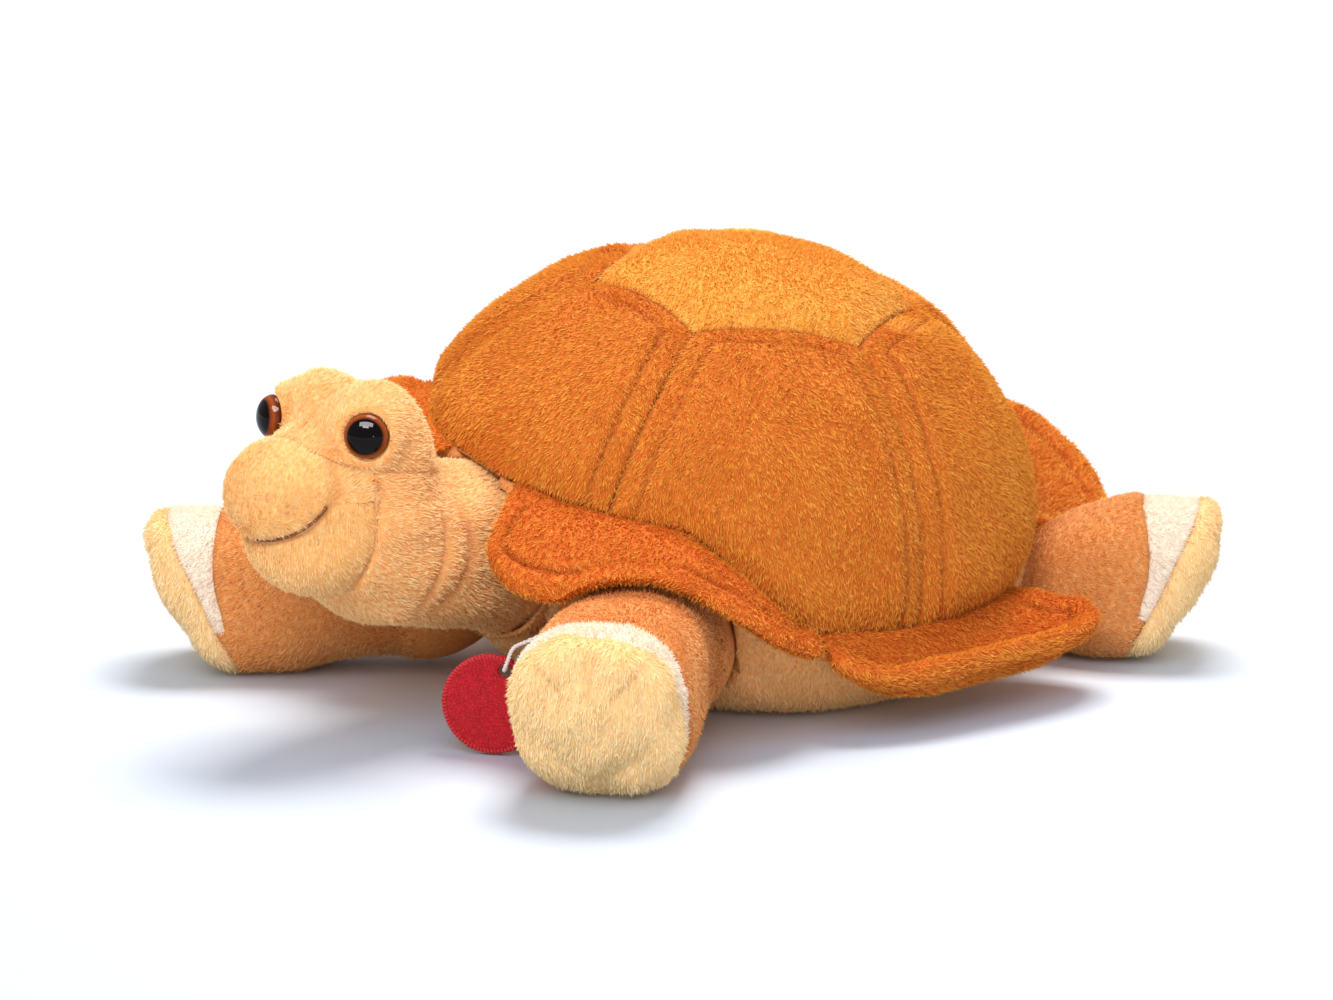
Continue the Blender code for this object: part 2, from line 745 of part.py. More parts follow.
def mouth_line(turn):
    return mouth_lift + (mouth_corner_lift - mouth_lift) * smooth_step(0.0, muzzle_turn, abs(turn))


def make_head(peach, muzzle_cream, filling, head_empty):
    seam_turn = 2.0 * seam_gap / snout_half.x
    seam_lift = seam_gap / snout_half.z

    def left_skin(share, turn, depth):
        low = crown_low(turn) + seam_lift
        point = head_skin(low + (pi / 2.0 - low) * share, turn, depth)
        point.x = max(point.x, seam_gap / 2.0)
        return point

    def right_skin(share, turn, depth):
        point = left_skin(share, turn, depth)
        point.x = -point.x
        return point

    full_turns = around(around_head)
    side_turns = [step for step in full_turns if side_of(step) > muzzle_turn + muzzle_column_gap]
    cheek_turns = [muzzle_turn - muzzle_lean * share for share in cheek_shares]
    chin_turns = [(muzzle_turn - muzzle_lean) * share for share in chin_shares]
    throat_turns = sorted(side_turns + cheek_turns + [2.0 * pi - turn for turn in cheek_turns]
                          + [turn % (2.0 * pi) for turn in chin_turns])
    turns = [turn for turn in throat_turns if turn < pi + seam_lift and turn not in cheek_turns[1::2]]
    pieces = [sheet("head_crown_left", left_skin, crown_shares, turns, fabric, peach, head_empty),
              sheet("head_crown_right", right_skin, crown_shares, turns, fabric, peach, head_empty)]

    def snout_skin(share, side, depth):
        corner = mouth_line(muzzle_turn)
        top = crown_low(muzzle_turn)
        turn = side * (muzzle_edge(corner + (top - corner) * share) - seam_turn)
        low = mouth_line(turn) + seam_lift
        high = crown_low(turn) - seam_lift
        return head_skin(low + (high - low) * share, turn, depth)

    def chin_skin(share, side, depth):
        corner = mouth_line(muzzle_turn)
        turn = side * (muzzle_edge(throat_front_lift + (corner - throat_front_lift) * share) - seam_turn)
        low = throat_front_lift + seam_lift
        high = mouth_line(turn) - seam_lift
        return head_skin(low + (high - low) * share, turn, depth)

    sheet("head_snout", snout_skin, snout_shares, muzzle_shares, fabric, muzzle_cream, head_empty)
    sheet("head_chin", chin_skin, chin_row_shares, muzzle_shares, fabric, muzzle_cream, head_empty)

    down = -pi / 2.0

    def throat_skin(share, turn, depth):
        high = throat_high(turn) - seam_lift
        return head_skin(down + (high - down) * share, turn, depth)

    outer = [[throat_skin(share, turn, 0.0) for turn in throat_turns] for share in throat_shares]
    inner = [[throat_skin(share, turn, fabric) for turn in throat_turns] for share in throat_shares]
    lathe_rings("head_throat", head_skin(down, 0.0, 0.0), outer + inner[::-1], head_skin(down, 0.0, fabric),
                peach, head_empty)

    deep = fabric + seat_gap + head_filling_room
    rings = [[throat_skin(share, turn, deep) for turn in throat_turns] for share in throat_shares]
    for share in crown_shares[1:-1]:
        rings.append([head_skin(throat_high(turn) + (pi / 2.0 - throat_high(turn)) * share, turn, deep)
                      for turn in throat_turns])
    core = lathe_rings("head_stuffing", head_skin(down, 0.0, deep), rings, head_skin(-down, 0.0, deep),
                       filling, head_empty)
    return pieces, core


def eye_frame(side):
    # The eye's seat: its Z axis points out of the head, and it clears the skin under the whole dome.
    middle = head_skin(eye_lift, side * eye_turn, 0.0)
    probe = seam_gap * 10.0
    axis = Vector([head_distance(middle + move) - head_distance(middle - move)
                   for move in (Vector((probe, 0.0, 0.0)), Vector((0.0, probe, 0.0)), Vector((0.0, 0.0, probe)))])
    axis.normalize()
    turn_to_axis = axis.to_track_quat("Z", "Y").to_matrix().to_4x4()
    frame = Matrix.Translation(middle) @ turn_to_axis
    sunk = max(-head_distance(frame @ Vector((eye_radius * cos(angle), eye_radius * sin(angle), 0.0)))
               for angle in around(around_post))
    return frame @ Matrix.Translation((0.0, 0.0, max(sunk, 0.0) * 1.1 + seat_gap))


def make_eyes(black, washer_grey, skins, core, head_empty):
    for side, name, skin in ((1.0, "left", skins[0]), (-1.0, "right", skins[1])):
        frame = eye_frame(side)
        lift = frame.inverted() @ head_skin(eye_lift, side * eye_turn, 0.0)
        dome = [(eye_radius * cos(swing), eye_dome * sin(swing))
                for swing in spread(0.0, pi / 2.0, eye_rows)[:-1]]
        rim = [(eye_post, -eye_post_length), (eye_post, 0.0)]
        loops = turned(rim + dome, around_eye, frame)
        lathe_rings("eye_" + name, None, loops, frame @ Vector((0.0, 0.0, eye_dome)), black, head_empty)

        top = lift.z - fabric - seat_gap
        while max(head_distance(frame @ Vector((washer_radius * cos(angle), washer_radius * sin(angle), top)))
                  for angle in around(around_post)) > -(fabric + 2.0 * seat_gap + filling_room):
            top -= seam_gap / 2.0
        bore = eye_post + post_clearance
        low = top - washer_thickness
        ring = [(bore, low), (washer_radius, low), (washer_radius, top), (bore, top)]
        loops = turned(ring, around_washer, frame)
        points = [point for loop in loops for point in loop]
        faces = []
        for row in range(len(ring)):
            for column in range(around_washer):
                after = (column + 1) % around_washer
                below = (row + 1) % len(ring)
                faces.append((row * around_washer + column, row * around_washer + after,
                              below * around_washer + after, below * around_washer + column))
        solid("eye_washer_" + name, points, faces, washer_grey, head_empty)

        pocket = turned([(washer_radius + seat_gap, low - seat_gap), (washer_radius + seat_gap, eye_dome)],
                        around_washer, frame)
        cut(core, cutter_from_rings("washer_pocket_" + name, pocket, head_empty))
        hole = turned([(bore, -eye_post_length - seat_gap), (bore, eye_dome)], around_post, frame)
        hole_tool = cutter_from_rings("post_bore_" + name, hole, head_empty)
        cut(core, hole_tool)
        cut(skin, hole_tool)


def cutter_from_rings(name, rings, parent):
    return cutter(name, lathe_rings(name, None, rings, None, None, parent))


def cord(name, route, radius, material, parent=None):
    # A round cord along a route of points.
    rings = []
    across = None
    for index, place in enumerate(route):
        ahead = (route[min(index + 1, len(route) - 1)] - route[max(index - 1, 0)]).normalized()
        if across is None:
            across = ahead.orthogonal()
        across = (across - ahead * across.dot(ahead)).normalized()
        up = ahead.cross(across)
        rings.append([place + (across * cos(angle) + up * sin(angle)) * radius
                      for angle in around(around_cord)])
    return lathe_rings(name, None, rings, None, material, parent)


def make_mouth(thread, head_empty):
    route = [head_skin(mouth_line(turn), turn, -(thread_radius + seam_gap))
             for turn in spread(-mouth_reach, mouth_reach, mouth_stations)]
    cord("mouth_stitch", route, thread_radius, thread, head_empty)


# Tag

def make_tag(red, cord_white):
    # The tag hangs beside the front left leg, on a cord sewn to the leg's inner side.
    name, side, ball, length, root, heading = leg_places()[0]
    face = Vector((cos(heading), sin(heading), 0.0))
    beside = Vector((sin(heading), -cos(heading), 0.0))
    slack = tag_hole - loop_radius - seat_gap
    arm = tag_radius - tag_hole_margin - tag_hole + slack
    to_hole = Vector((0.0, 0.0, cos(tag_hole_turn))) - beside * sin(tag_hole_turn)
    middle = root + face * tag_along_leg + beside * tag_beside_leg
    middle.z = tag_ground_gap + tag_radius
    hang = middle + to_hole * arm
    hinge = pivot("tag_hinge", hang, heading + pi / 2.0)

    # In the hinge's frame the tag faces -Y, and X runs along the hinge
    way = Vector((sin(tag_hole_turn), 0.0, cos(tag_hole_turn)))
    half = tag_thickness / 2.0
    disc = []
    for across, inset in ((-half, tag_thickness * 0.2), (-half * 0.5, 0.0), (half * 0.5, 0.0),
                          (half, tag_thickness * 0.2)):
        radius = tag_radius - inset
        disc.append([Vector((radius * sin(angle), across, radius * cos(angle))) - way * arm
                     for angle in around(around_tag)])
    plate = lathe_rings("tag_disc", None, disc, None, red, hinge)
    bore = [[Vector((tag_hole * sin(angle), across, tag_hole * cos(angle))) - way * slack
             for angle in around(around_tag_bore)] for across in (-tag_thickness, tag_thickness)]
    cut(plate, cutter_from_rings("tag_bore", bore, hinge))

    # The cord leaves the leg, passes through the hole and goes back over the tag's edge to the leg
    def sewn(angle):
        out = -(loop_radius / 2.0 + seat_gap)
        ring = leg_ring(ball, length, root.z, tag_seam_share, out)
        return root + Matrix.Rotation(heading, 3, "Z") @ leg_point(ring, -angle, root.z, out)

    low_end = sewn(tag_seam_angle + tag_seam_rise)
    high_end = sewn(tag_seam_angle - tag_seam_rise)
    over = hang + to_hole * loop_rise
    route = [low_end, low_end.lerp(hang, 0.5) - face * loop_pass * 0.5, hang - face * loop_pass * 0.6, hang,
             hang + face * loop_pass * 0.8, hang + face * loop_pass + to_hole * loop_rise * 0.5,
             over + face * loop_pass * 0.5, over.lerp(high_end, 0.3), high_end]
    points = [spline_point(route, share) for share in spread(0.0, 1.0, loop_stations)]
    cord("tag_loop", points, loop_radius, cord_white)
    return hang


def spline_point(route, share):
    # A point of the smooth curve through the route's points.
    place = share * (len(route) - 1)
    index = min(int(place), len(route) - 2)
    part = place - index
    before = route[max(index - 1, 0)]
    here = route[index]
    after = route[index + 1]
    beyond = route[min(index + 2, len(route) - 1)]
    return (here * 2.0 + (after - before) * part
            + (before * 2.0 - here * 5.0 + after * 4.0 - beyond) * part ** 2
            + (here * 3.0 - before - after * 3.0 + beyond) * part ** 3) * 0.5


def build():
    clear_scene()
    orange = finish("shell_orange", (0.80, 0.29, 0.035), 0.90)
    deep_orange = finish("brim_orange", (0.66, 0.19, 0.018), 0.92)
    peach = finish("body_peach", (0.86, 0.50, 0.24), 0.92)
    tan = finish("leg_tan", (0.80, 0.38, 0.12), 0.92)
    cream = finish("sole_cream", (0.93, 0.62, 0.28), 0.94)
    pale = finish("toe_pale", (0.92, 0.78, 0.62), 0.94)
    filling = finish("stuffing_white", (0.85, 0.85, 0.83), 0.95)
    black = finish("eye_black", (0.012, 0.008, 0.006), 0.05, 1.0)
    grey = finish("washer_grey", (0.60, 0.60, 0.58), 0.5)
    brown = finish("mouth_thread", (0.16, 0.02, 0.012), 0.7)
    red = finish("tag_red", (0.60, 0.012, 0.022), 0.85)
    white = finish("tag_cord_white", (0.88, 0.86, 0.84), 0.8)

    shell_empty = bpy.data.objects.new("shell_frame", None)
    bpy.context.collection.objects.link(shell_empty)
    shell_empty.matrix_world = shell_frame
    make_shell(orange, shell_empty)
    make_brim(deep_orange)
    casing, core = make_body(peach, filling)

    # Neck and head
    neck = Vector((0.0, shell_middle.y - shell_half_length * cos(front_lift) + neck_pivot_back, neck_pivot_height))
    neck_empty = pivot("neck_pivot", neck)
    collar_inner = (neck_ball + socket_gap) / cos(pi / around_collar)
    collar_outer = collar_inner + fabric
    zone = spread(-collar_back_share, 0.0, collar_rows)
    tilt = neck_end.to_track_quat("Z", "Y").to_matrix().to_4x4()
    profile = [(collar_outer * sqrt(1.0 - share ** 2), collar_outer * share) for share in zone]
    profile += [(collar_inner * sqrt(1.0 - share ** 2), collar_inner * share) for share in zone[::-1]]
    loops = turned(profile, around_collar, tilt)
    points = [point for loop in loops for point in loop]
    faces = []
    for row in range(len(loops)):
        for column in range(around_collar):
            after = (column + 1) % around_collar
            below = (row + 1) % len(loops)
            faces.append((row * around_collar + column, row * around_collar + after,
                          below * around_collar + after, below * around_collar + column))
    solid("neck_collar", points, faces, peach, neck_empty)
    skins, head_core = make_head(peach, cream, filling, neck_empty)
    make_eyes(black, grey, skins, head_core, neck_empty)
    make_mouth(brown, neck_empty)
    socket = socket_cutter("neck_socket", collar_outer + socket_gap, neck_tunnel, 0.0,
                           Matrix.Translation(neck) @ tilt)
    cut(casing, socket)
    cut(core, socket)

    for name, side, ball, length, root, heading in leg_places():
        empty = pivot("leg_pivot_" + name, root, heading)
        make_leg("leg_" + name, ball, length, empty, root.z, (tan, cream, pale), filling)
        frame = Matrix.Translation(root) @ Matrix.Rotation(heading, 4, "Z") @ Matrix.Rotation(pi / 2.0, 4, "Y")
        tool = socket_cutter("leg_socket_" + name, ball + socket_gap, leg_opening_reach, leg_opening_lean_share, frame)
        cut(casing, tool)
        cut(core, tool)
        print("leg root", name, [round(value, 4) for value in root])
    hang = make_tag(red, white)
    print("neck pivot", [round(value, 4) for value in neck], "tag hinge", [round(value, 4) for value in hang])


build()
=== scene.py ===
import json
from math import acos, cos, pi, radians, sin, sqrt

import bpy
import numpy as np
from mathutils import Euler, Matrix, Vector

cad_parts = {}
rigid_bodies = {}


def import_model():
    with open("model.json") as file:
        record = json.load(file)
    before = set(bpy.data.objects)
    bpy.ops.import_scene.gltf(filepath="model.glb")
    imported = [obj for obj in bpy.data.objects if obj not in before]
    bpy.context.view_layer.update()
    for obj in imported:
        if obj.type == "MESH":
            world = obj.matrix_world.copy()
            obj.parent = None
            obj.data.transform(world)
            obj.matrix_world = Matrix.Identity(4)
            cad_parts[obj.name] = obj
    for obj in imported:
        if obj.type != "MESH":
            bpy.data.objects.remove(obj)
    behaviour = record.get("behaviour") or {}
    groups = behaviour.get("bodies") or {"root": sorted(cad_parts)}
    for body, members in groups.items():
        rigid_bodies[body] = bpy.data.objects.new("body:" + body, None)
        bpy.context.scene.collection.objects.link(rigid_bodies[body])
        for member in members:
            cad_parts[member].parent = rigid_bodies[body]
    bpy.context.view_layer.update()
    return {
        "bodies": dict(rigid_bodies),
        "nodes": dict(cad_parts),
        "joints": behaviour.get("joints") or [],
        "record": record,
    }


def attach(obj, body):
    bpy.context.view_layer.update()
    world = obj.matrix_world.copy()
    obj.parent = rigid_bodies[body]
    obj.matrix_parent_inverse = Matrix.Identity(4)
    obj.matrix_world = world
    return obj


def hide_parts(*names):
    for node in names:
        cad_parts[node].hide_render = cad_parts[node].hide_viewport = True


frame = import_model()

print("frame loaded:", len(frame["nodes"]), "nodes")


# camera, floor and light

view = {"azimuth": 48.8, "elevation": 12.5, "distance": 1.0, "target": (-0.0049, -0.0062, 0.0477),
        "lens": 93.39}
studio = {"floorSize": 12.0, "floorTone": (0.83, 0.87, 0.93), "skyStrength": 0.50,
          "farGlow": 0.66, "glowFrom": 0.25, "glowTo": 1.4, "glowTint": (1.0, 0.97, 0.93)}
lights = {
    # place, what it points at, its two sizes, power and tint
    "topLight": ((-0.12, 0.25, 1.12), (0.0, 0.0, 0.04), (0.6, 0.45), 11.0, (1.0, 1.0, 1.0)),
    "keyLight": ((0.40, -0.62, 0.62), (0.0, -0.04, 0.06), (0.32, 0.11), 4.8, (1.0, 1.0, 1.0)),
    "sparkLight": ((0.80, -0.42, 0.14), (0.0, -0.1, 0.07), (0.05, 0.05), 0.24, (1.0, 1.0, 1.0)),
    "floorFill": ((0.55, -0.65, 0.90), (0.0, -0.05, 0.0), (0.9, 0.9), 4.4, (0.38, 0.68, 1.0)),
    "eyeSoftbox": ((0.25, -0.42, 0.62), (0.01, -0.13, 0.09), (0.62, 0.24), 14.0, (1.0, 1.0, 1.0)),
}


def makeCamera():
    azimuth, elevation = radians(view["azimuth"]), radians(view["elevation"])
    away = Vector((sin(azimuth) * cos(elevation), -cos(azimuth) * cos(elevation), sin(elevation)))
    data = bpy.data.cameras.new("camera")
    data.sensor_width = 36.0
    data.lens = view["lens"]
    data.clip_start = 0.01
    camera = bpy.data.objects.new("camera", data)
    camera.location = Vector(view["target"]) + away * view["distance"]
    camera.rotation_euler = away.to_track_quat("Z", "Y").to_euler()
    bpy.context.collection.objects.link(camera)
    bpy.context.scene.camera = camera


def makeLight(name):
    place, target, size, power, tint = lights[name]
    data = bpy.data.lights.new(name, "AREA")
    data.shape = "RECTANGLE"
    data.size, data.size_y = size
    data.energy = power
    data.color = tint
    light = bpy.data.objects.new(name, data)
    light.location = place
    light.rotation_euler = (Vector(place) - Vector(target)).to_track_quat("Z", "Y").to_euler()
    bpy.context.collection.objects.link(light)
    return light


def limitLight(light, name, pieces, state):
    # The light reaches only these pieces, or every piece but these
    group = bpy.data.collections.new(name)
    for piece in pieces:
        group.objects.link(piece)
    light.light_linking.receiver_collection = group
    for member in group.collection_objects:
        member.light_linking.link_state = state


# shader and geometry node helpers

def operator(name, turned=False):
    def apply(self, other):
        ends = (other, self) if turned else (self, other)
        return self.board.node("ShaderNodeMath", {"operation": name}, {0: ends[0], 1: ends[1]})
    return apply


class Wire:
    # An output socket that can be added, multiplied and so on, with a node for each sum
    __add__ = operator("ADD")
    __radd__ = operator("ADD", True)
    __sub__ = operator("SUBTRACT")
    __mul__ = operator("MULTIPLY")
    __truediv__ = operator("DIVIDE")

    def __init__(self, board, socket):
        self.board, self.socket = board, socket


class Board:
    def __init__(self, tree):
        self.tree = tree

    def node(self, kind, settings=None, sockets=None, out=0):
        made = self.tree.nodes.new(kind)
        for key, value in (settings or {}).items():
            if key == "stops":
                ramp = made.color_ramp
                while len(ramp.elements) < len(value):
                    ramp.elements.new(0.5)
                for element, (position, colour) in zip(ramp.elements, value):
                    element.position, element.color = position, (*colour, 1.0)
            else:
                setattr(made, key, value)
        for key, value in (sockets or {}).items():
            self.feed(made.inputs[key], value)
        return Wire(self, made.outputs[out])

    def feed(self, socket, value):
        if isinstance(value, Wire):
            self.tree.links.new(value.socket, socket)
        elif isinstance(value, tuple) and len(value) == 3 and socket.type == "RGBA":
            socket.default_value = (*value, 1.0)
        else:
            socket.default_value = value

    def mix(self, share, low, high):
        return self.node("ShaderNodeMix", {"data_type": "RGBA"}, {0: share, 6: low, 7: high}, 2)

    def attribute(self, name):
        return self.node("ShaderNodeAttribute", {"attribute_name": name}, None, 2)

    def geometry(self, kind, sockets, **settings):
        return self.node("GeometryNode" + kind, settings, sockets)

    def chance(self, low, high, seed):
        return self.node("FunctionNodeRandomValue", {"data_type": "FLOAT"},
                         {2: low, 3: high, "Seed": seed}, 1)

    def vector(self, operation, one, other):
        return self.node("ShaderNodeVectorMath", {"operation": operation}, {0: one, 1: other})

    def stretched(self, one, scale):
        return self.node("ShaderNodeVectorMath", {"operation": "SCALE"}, {0: one, "Scale": scale})

    def stored(self, item, name, value, kind="FLOAT", domain="INSTANCE"):
        return self.geometry("StoreNamedAttribute", {"Geometry": item, "Name": name, "Value": value},
                             data_type=kind, domain=domain)

    def noise(self, scale, detail=2.0, roughness=0.5):
        place = self.node("ShaderNodeTexCoord", None, None, 3)
        return self.node("ShaderNodeTexNoise", None,
                         {"Vector": place, "Scale": scale, "Detail": detail, "Roughness": roughness})


def tone(red, green, blue):
    # A colour given as screen values from 0 to 255
    shares = [value / 255.0 for value in (red, green, blue)]
    return tuple(share / 12.92 if share <= 0.04045 else ((share + 0.055) / 1.055) ** 2.4 for share in shares)


def newMaterial(name, roughness, sheen=0.0, sheenTint=(1.0, 1.0, 1.0)):
    material = bpy.data.materials.new(name)
    material.use_nodes = True
    board = Board(material.node_tree)
    shader = material.node_tree.nodes["Principled BSDF"]
    shader.inputs["Roughness"].default_value = roughness
    shader.inputs["Sheen Weight"].default_value = sheen
    shader.inputs["Sheen Roughness"].default_value = 0.45
    shader.inputs["Sheen Tint"].default_value = (*sheenTint, 1.0)
    return material, board, shader


# Among these: how strongly the painted shade deepens the pile towards the roots and along the seams
wool = {"sheen": 0.22, "cloudScale": 38.0, "grainScale": 640.0, "tipShare": 0.70, "ownShare": 0.30,
        "grainShare": 1.05, "cloudFrom": 0.42, "seamShare": 0.75, "roughness": 0.82, "grainRoughness": 0.12}


def bumped(board, shader, strength, distance, height):
    values = {"Strength": strength, "Distance": distance, "Height": height}
    board.feed(shader.inputs["Normal"], board.node("ShaderNodeBump", None, values))


def plush(name, root, tip, seam, patchy=0.16):
    # Short pile: dark and rich at its roots and pale at its tips, as painted shade down among the tufts,
    # with darker soft patches, and with darker seams, grooves and creases as painted shade
    material, board, shader = newMaterial(name, 0.88, wool["sheen"], tip)
    clouds = board.noise(wool["cloudScale"], 2.0, 0.55)
    grain = board.noise(wool["grainScale"], 1.0, 0.5)
    # Darker towards the roots and paler towards the tips: painted shade among the tufts
    lift = board.attribute("tip") * wool["tipShare"] + board.attribute("shade") * wool["ownShare"]
    colour = board.mix(lift + (grain - 0.5) * wool["grainShare"], root, tip)
    colour = board.mix((clouds - wool["cloudFrom"]) * (patchy * 4.0), colour, root)
    # Towards the seam colour where the panel marks it: painted shade in seams, grooves and creases
    colour = board.mix(board.attribute("seam") * wool["seamShare"], colour, seam)
    board.feed(shader.inputs["Base Color"], colour)
    board.feed(shader.inputs["Roughness"], wool["roughness"] + grain * wool["grainRoughness"])
    bumped(board, shader, 0.5, 0.0006, grain)
    return material


def threadMaterial(name, roughness, sheen, noise, dark, pale):
    material, board, shader = newMaterial(name, roughness, sheen)
    board.feed(shader.inputs["Base Color"], board.mix(board.noise(*noise), tone(*dark), tone(*pale)))
    return material


# shape helpers

def smoothStep(low, high, value):
    share = np.clip((value - low) / (high - low), 0.0, 1.0)
    return share * share * (3.0 - 2.0 * share)


def between(first, full, last, gone, value):
    # Grows from the first value to the full one, and fades from the last to the one where it is gone
    return smoothStep(first, full, value) * (1.0 - smoothStep(last, gone, value))


def bell(value, middle, width):
    return np.exp(-((value - middle) / width) ** 2)


def wayOf(turn, lift):
    # The way from a middle at a turn round the row's front and a lift above its level
    return np.stack([np.cos(lift) * np.sin(turn), -np.cos(lift) * np.cos(turn), np.sin(lift)], -1)


def waves(points, size, seed, count=7):
    # A smooth wandering value from about -1 to 1 that changes over the given size
    chance = np.random.default_rng(seed)
    total = np.zeros(len(points))
    for step in range(count):
        direction = chance.normal(size=3)
        direction *= 2.0 * pi / size / np.linalg.norm(direction) * chance.uniform(0.6, 1.5)
        total += np.sin(points @ direction + chance.uniform(0.0, 2.0 * pi))
    return total / sqrt(count) / 1.2


def around(count):
    return np.arange(count) * 2.0 * pi / count


def gridFaces(rows, columns, ring, startPole, endPole):
    faces = []
    spans = columns if ring else columns - 1
    for row in range(rows - 1):
        for column in range(spans):
            after = (column + 1) % columns
            faces.append((row * columns + column, row * columns + after,
                          (row + 1) * columns + after, (row + 1) * columns + column))
    pole = rows * columns
    if startPole:
        faces += [((column + 1) % columns, column, pole) for column in range(spans)]
        pole += 1
    if endPole:
        last = (rows - 1) * columns
        faces += [(last + column, last + (column + 1) % columns, pole) for column in range(spans)]
    return faces


def meshFrom(name, points, faces):
    mesh = bpy.data.meshes.new(name)
    mesh.from_pydata([tuple(point) for point in points], [], faces)
    mesh.update()
    return mesh


def addObject(name, mesh, material):
    mesh.materials.append(material)
    item = bpy.data.objects.new(name, mesh)
    bpy.context.collection.objects.link(item)
    return item


def fit(item, body, slot, *nodes):
    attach(item, body)
    if nodes:
        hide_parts(*nodes)


def joinedWords(name):
    return "".join(word.capitalize() for word in name.split("_"))


def roundFaces(rows, count):
    # A surface that closes round its axis and from its last row back to its first
    last = (rows - 1) * count
    return gridFaces(rows, count, True, False, False) + [
        (last + step, last + (step + 1) % count, (step + 1) % count, step) for step in range(count)]


def normalsOf(points, faces):
    mesh = meshFrom("probe", points, faces)
    found = np.empty(len(points) * 3)
    mesh.vertex_normals.foreach_get("vector", found)
    bpy.data.meshes.remove(mesh)
    return found.reshape(-1, 3)


def borderDistance(grid, sides, ring):
    # How far each grid point lies from the panel's sewn sides, along the surface
    rows, columns = grid.shape[:2]
    best = np.full((rows, columns), 1.0)
    down = np.linalg.norm(np.diff(grid, axis=0), axis=2)
    across = np.linalg.norm(np.diff(grid, axis=1), axis=2)
    zeroRow = np.zeros((1, columns))
    zeroColumn = np.zeros((rows, 1))
    if "start" in sides:
        best = np.minimum(best, np.vstack([zeroRow, np.cumsum(down, axis=0)]))
    if "end" in sides:
        best = np.minimum(best, np.vstack([np.cumsum(down[::-1], axis=0)[::-1], zeroRow]))
    if "left" in sides and not ring:
        best = np.minimum(best, np.hstack([zeroColumn, np.cumsum(across, axis=1)]))
    if "right" in sides and not ring:
        best = np.minimum(best, np.hstack([np.cumsum(across[:, ::-1], axis=1)[:, ::-1], zeroColumn]))
    return best


# cloth and pile

# Among these: how wide the painted shade along the seams runs and how dark the painted shade in the grooves
# is
cloth = {"tuck": 0.0009, "tuckWidth": 0.0012, "seamShadeWidth": 0.0008, "grooveDepth": 0.0012, "grounded": 0.0012,
         "lowest": 0.0002, "bareBelow": 0.0010, "swirlSize": 0.03, "swirl": 0.45, "grooveShade": 0.8,
         "shortBy": 0.62}


def startTree(name, inputs):
    # A geometry tree, the board to build it on, and the wires of its named inputs
    tree = bpy.data.node_groups.new(name, "GeometryNodeTree")
    for words, kind in (("Geometry", "Geometry"),) + inputs:
        tree.interface.new_socket(words, in_out="INPUT", socket_type="NodeSocket" + kind)
    tree.interface.new_socket("Geometry", in_out="OUTPUT", socket_type="NodeSocketGeometry")
    board = Board(tree)
    entry = tree.nodes.new("NodeGroupInput")
    return tree, board, {socket.name: Wire(board, socket) for socket in entry.outputs}


def paintedOut(tree, board, item, material):
    painted = board.geometry("SetMaterial", {"Geometry": item, "Material": material})
    tree.links.new(painted.socket, tree.nodes.new("NodeGroupOutput").inputs[0])
    return tree


spikes = {"sizes": (0.72, 1.28), "heapShare": 1.1, "heapLeast": 0.45}


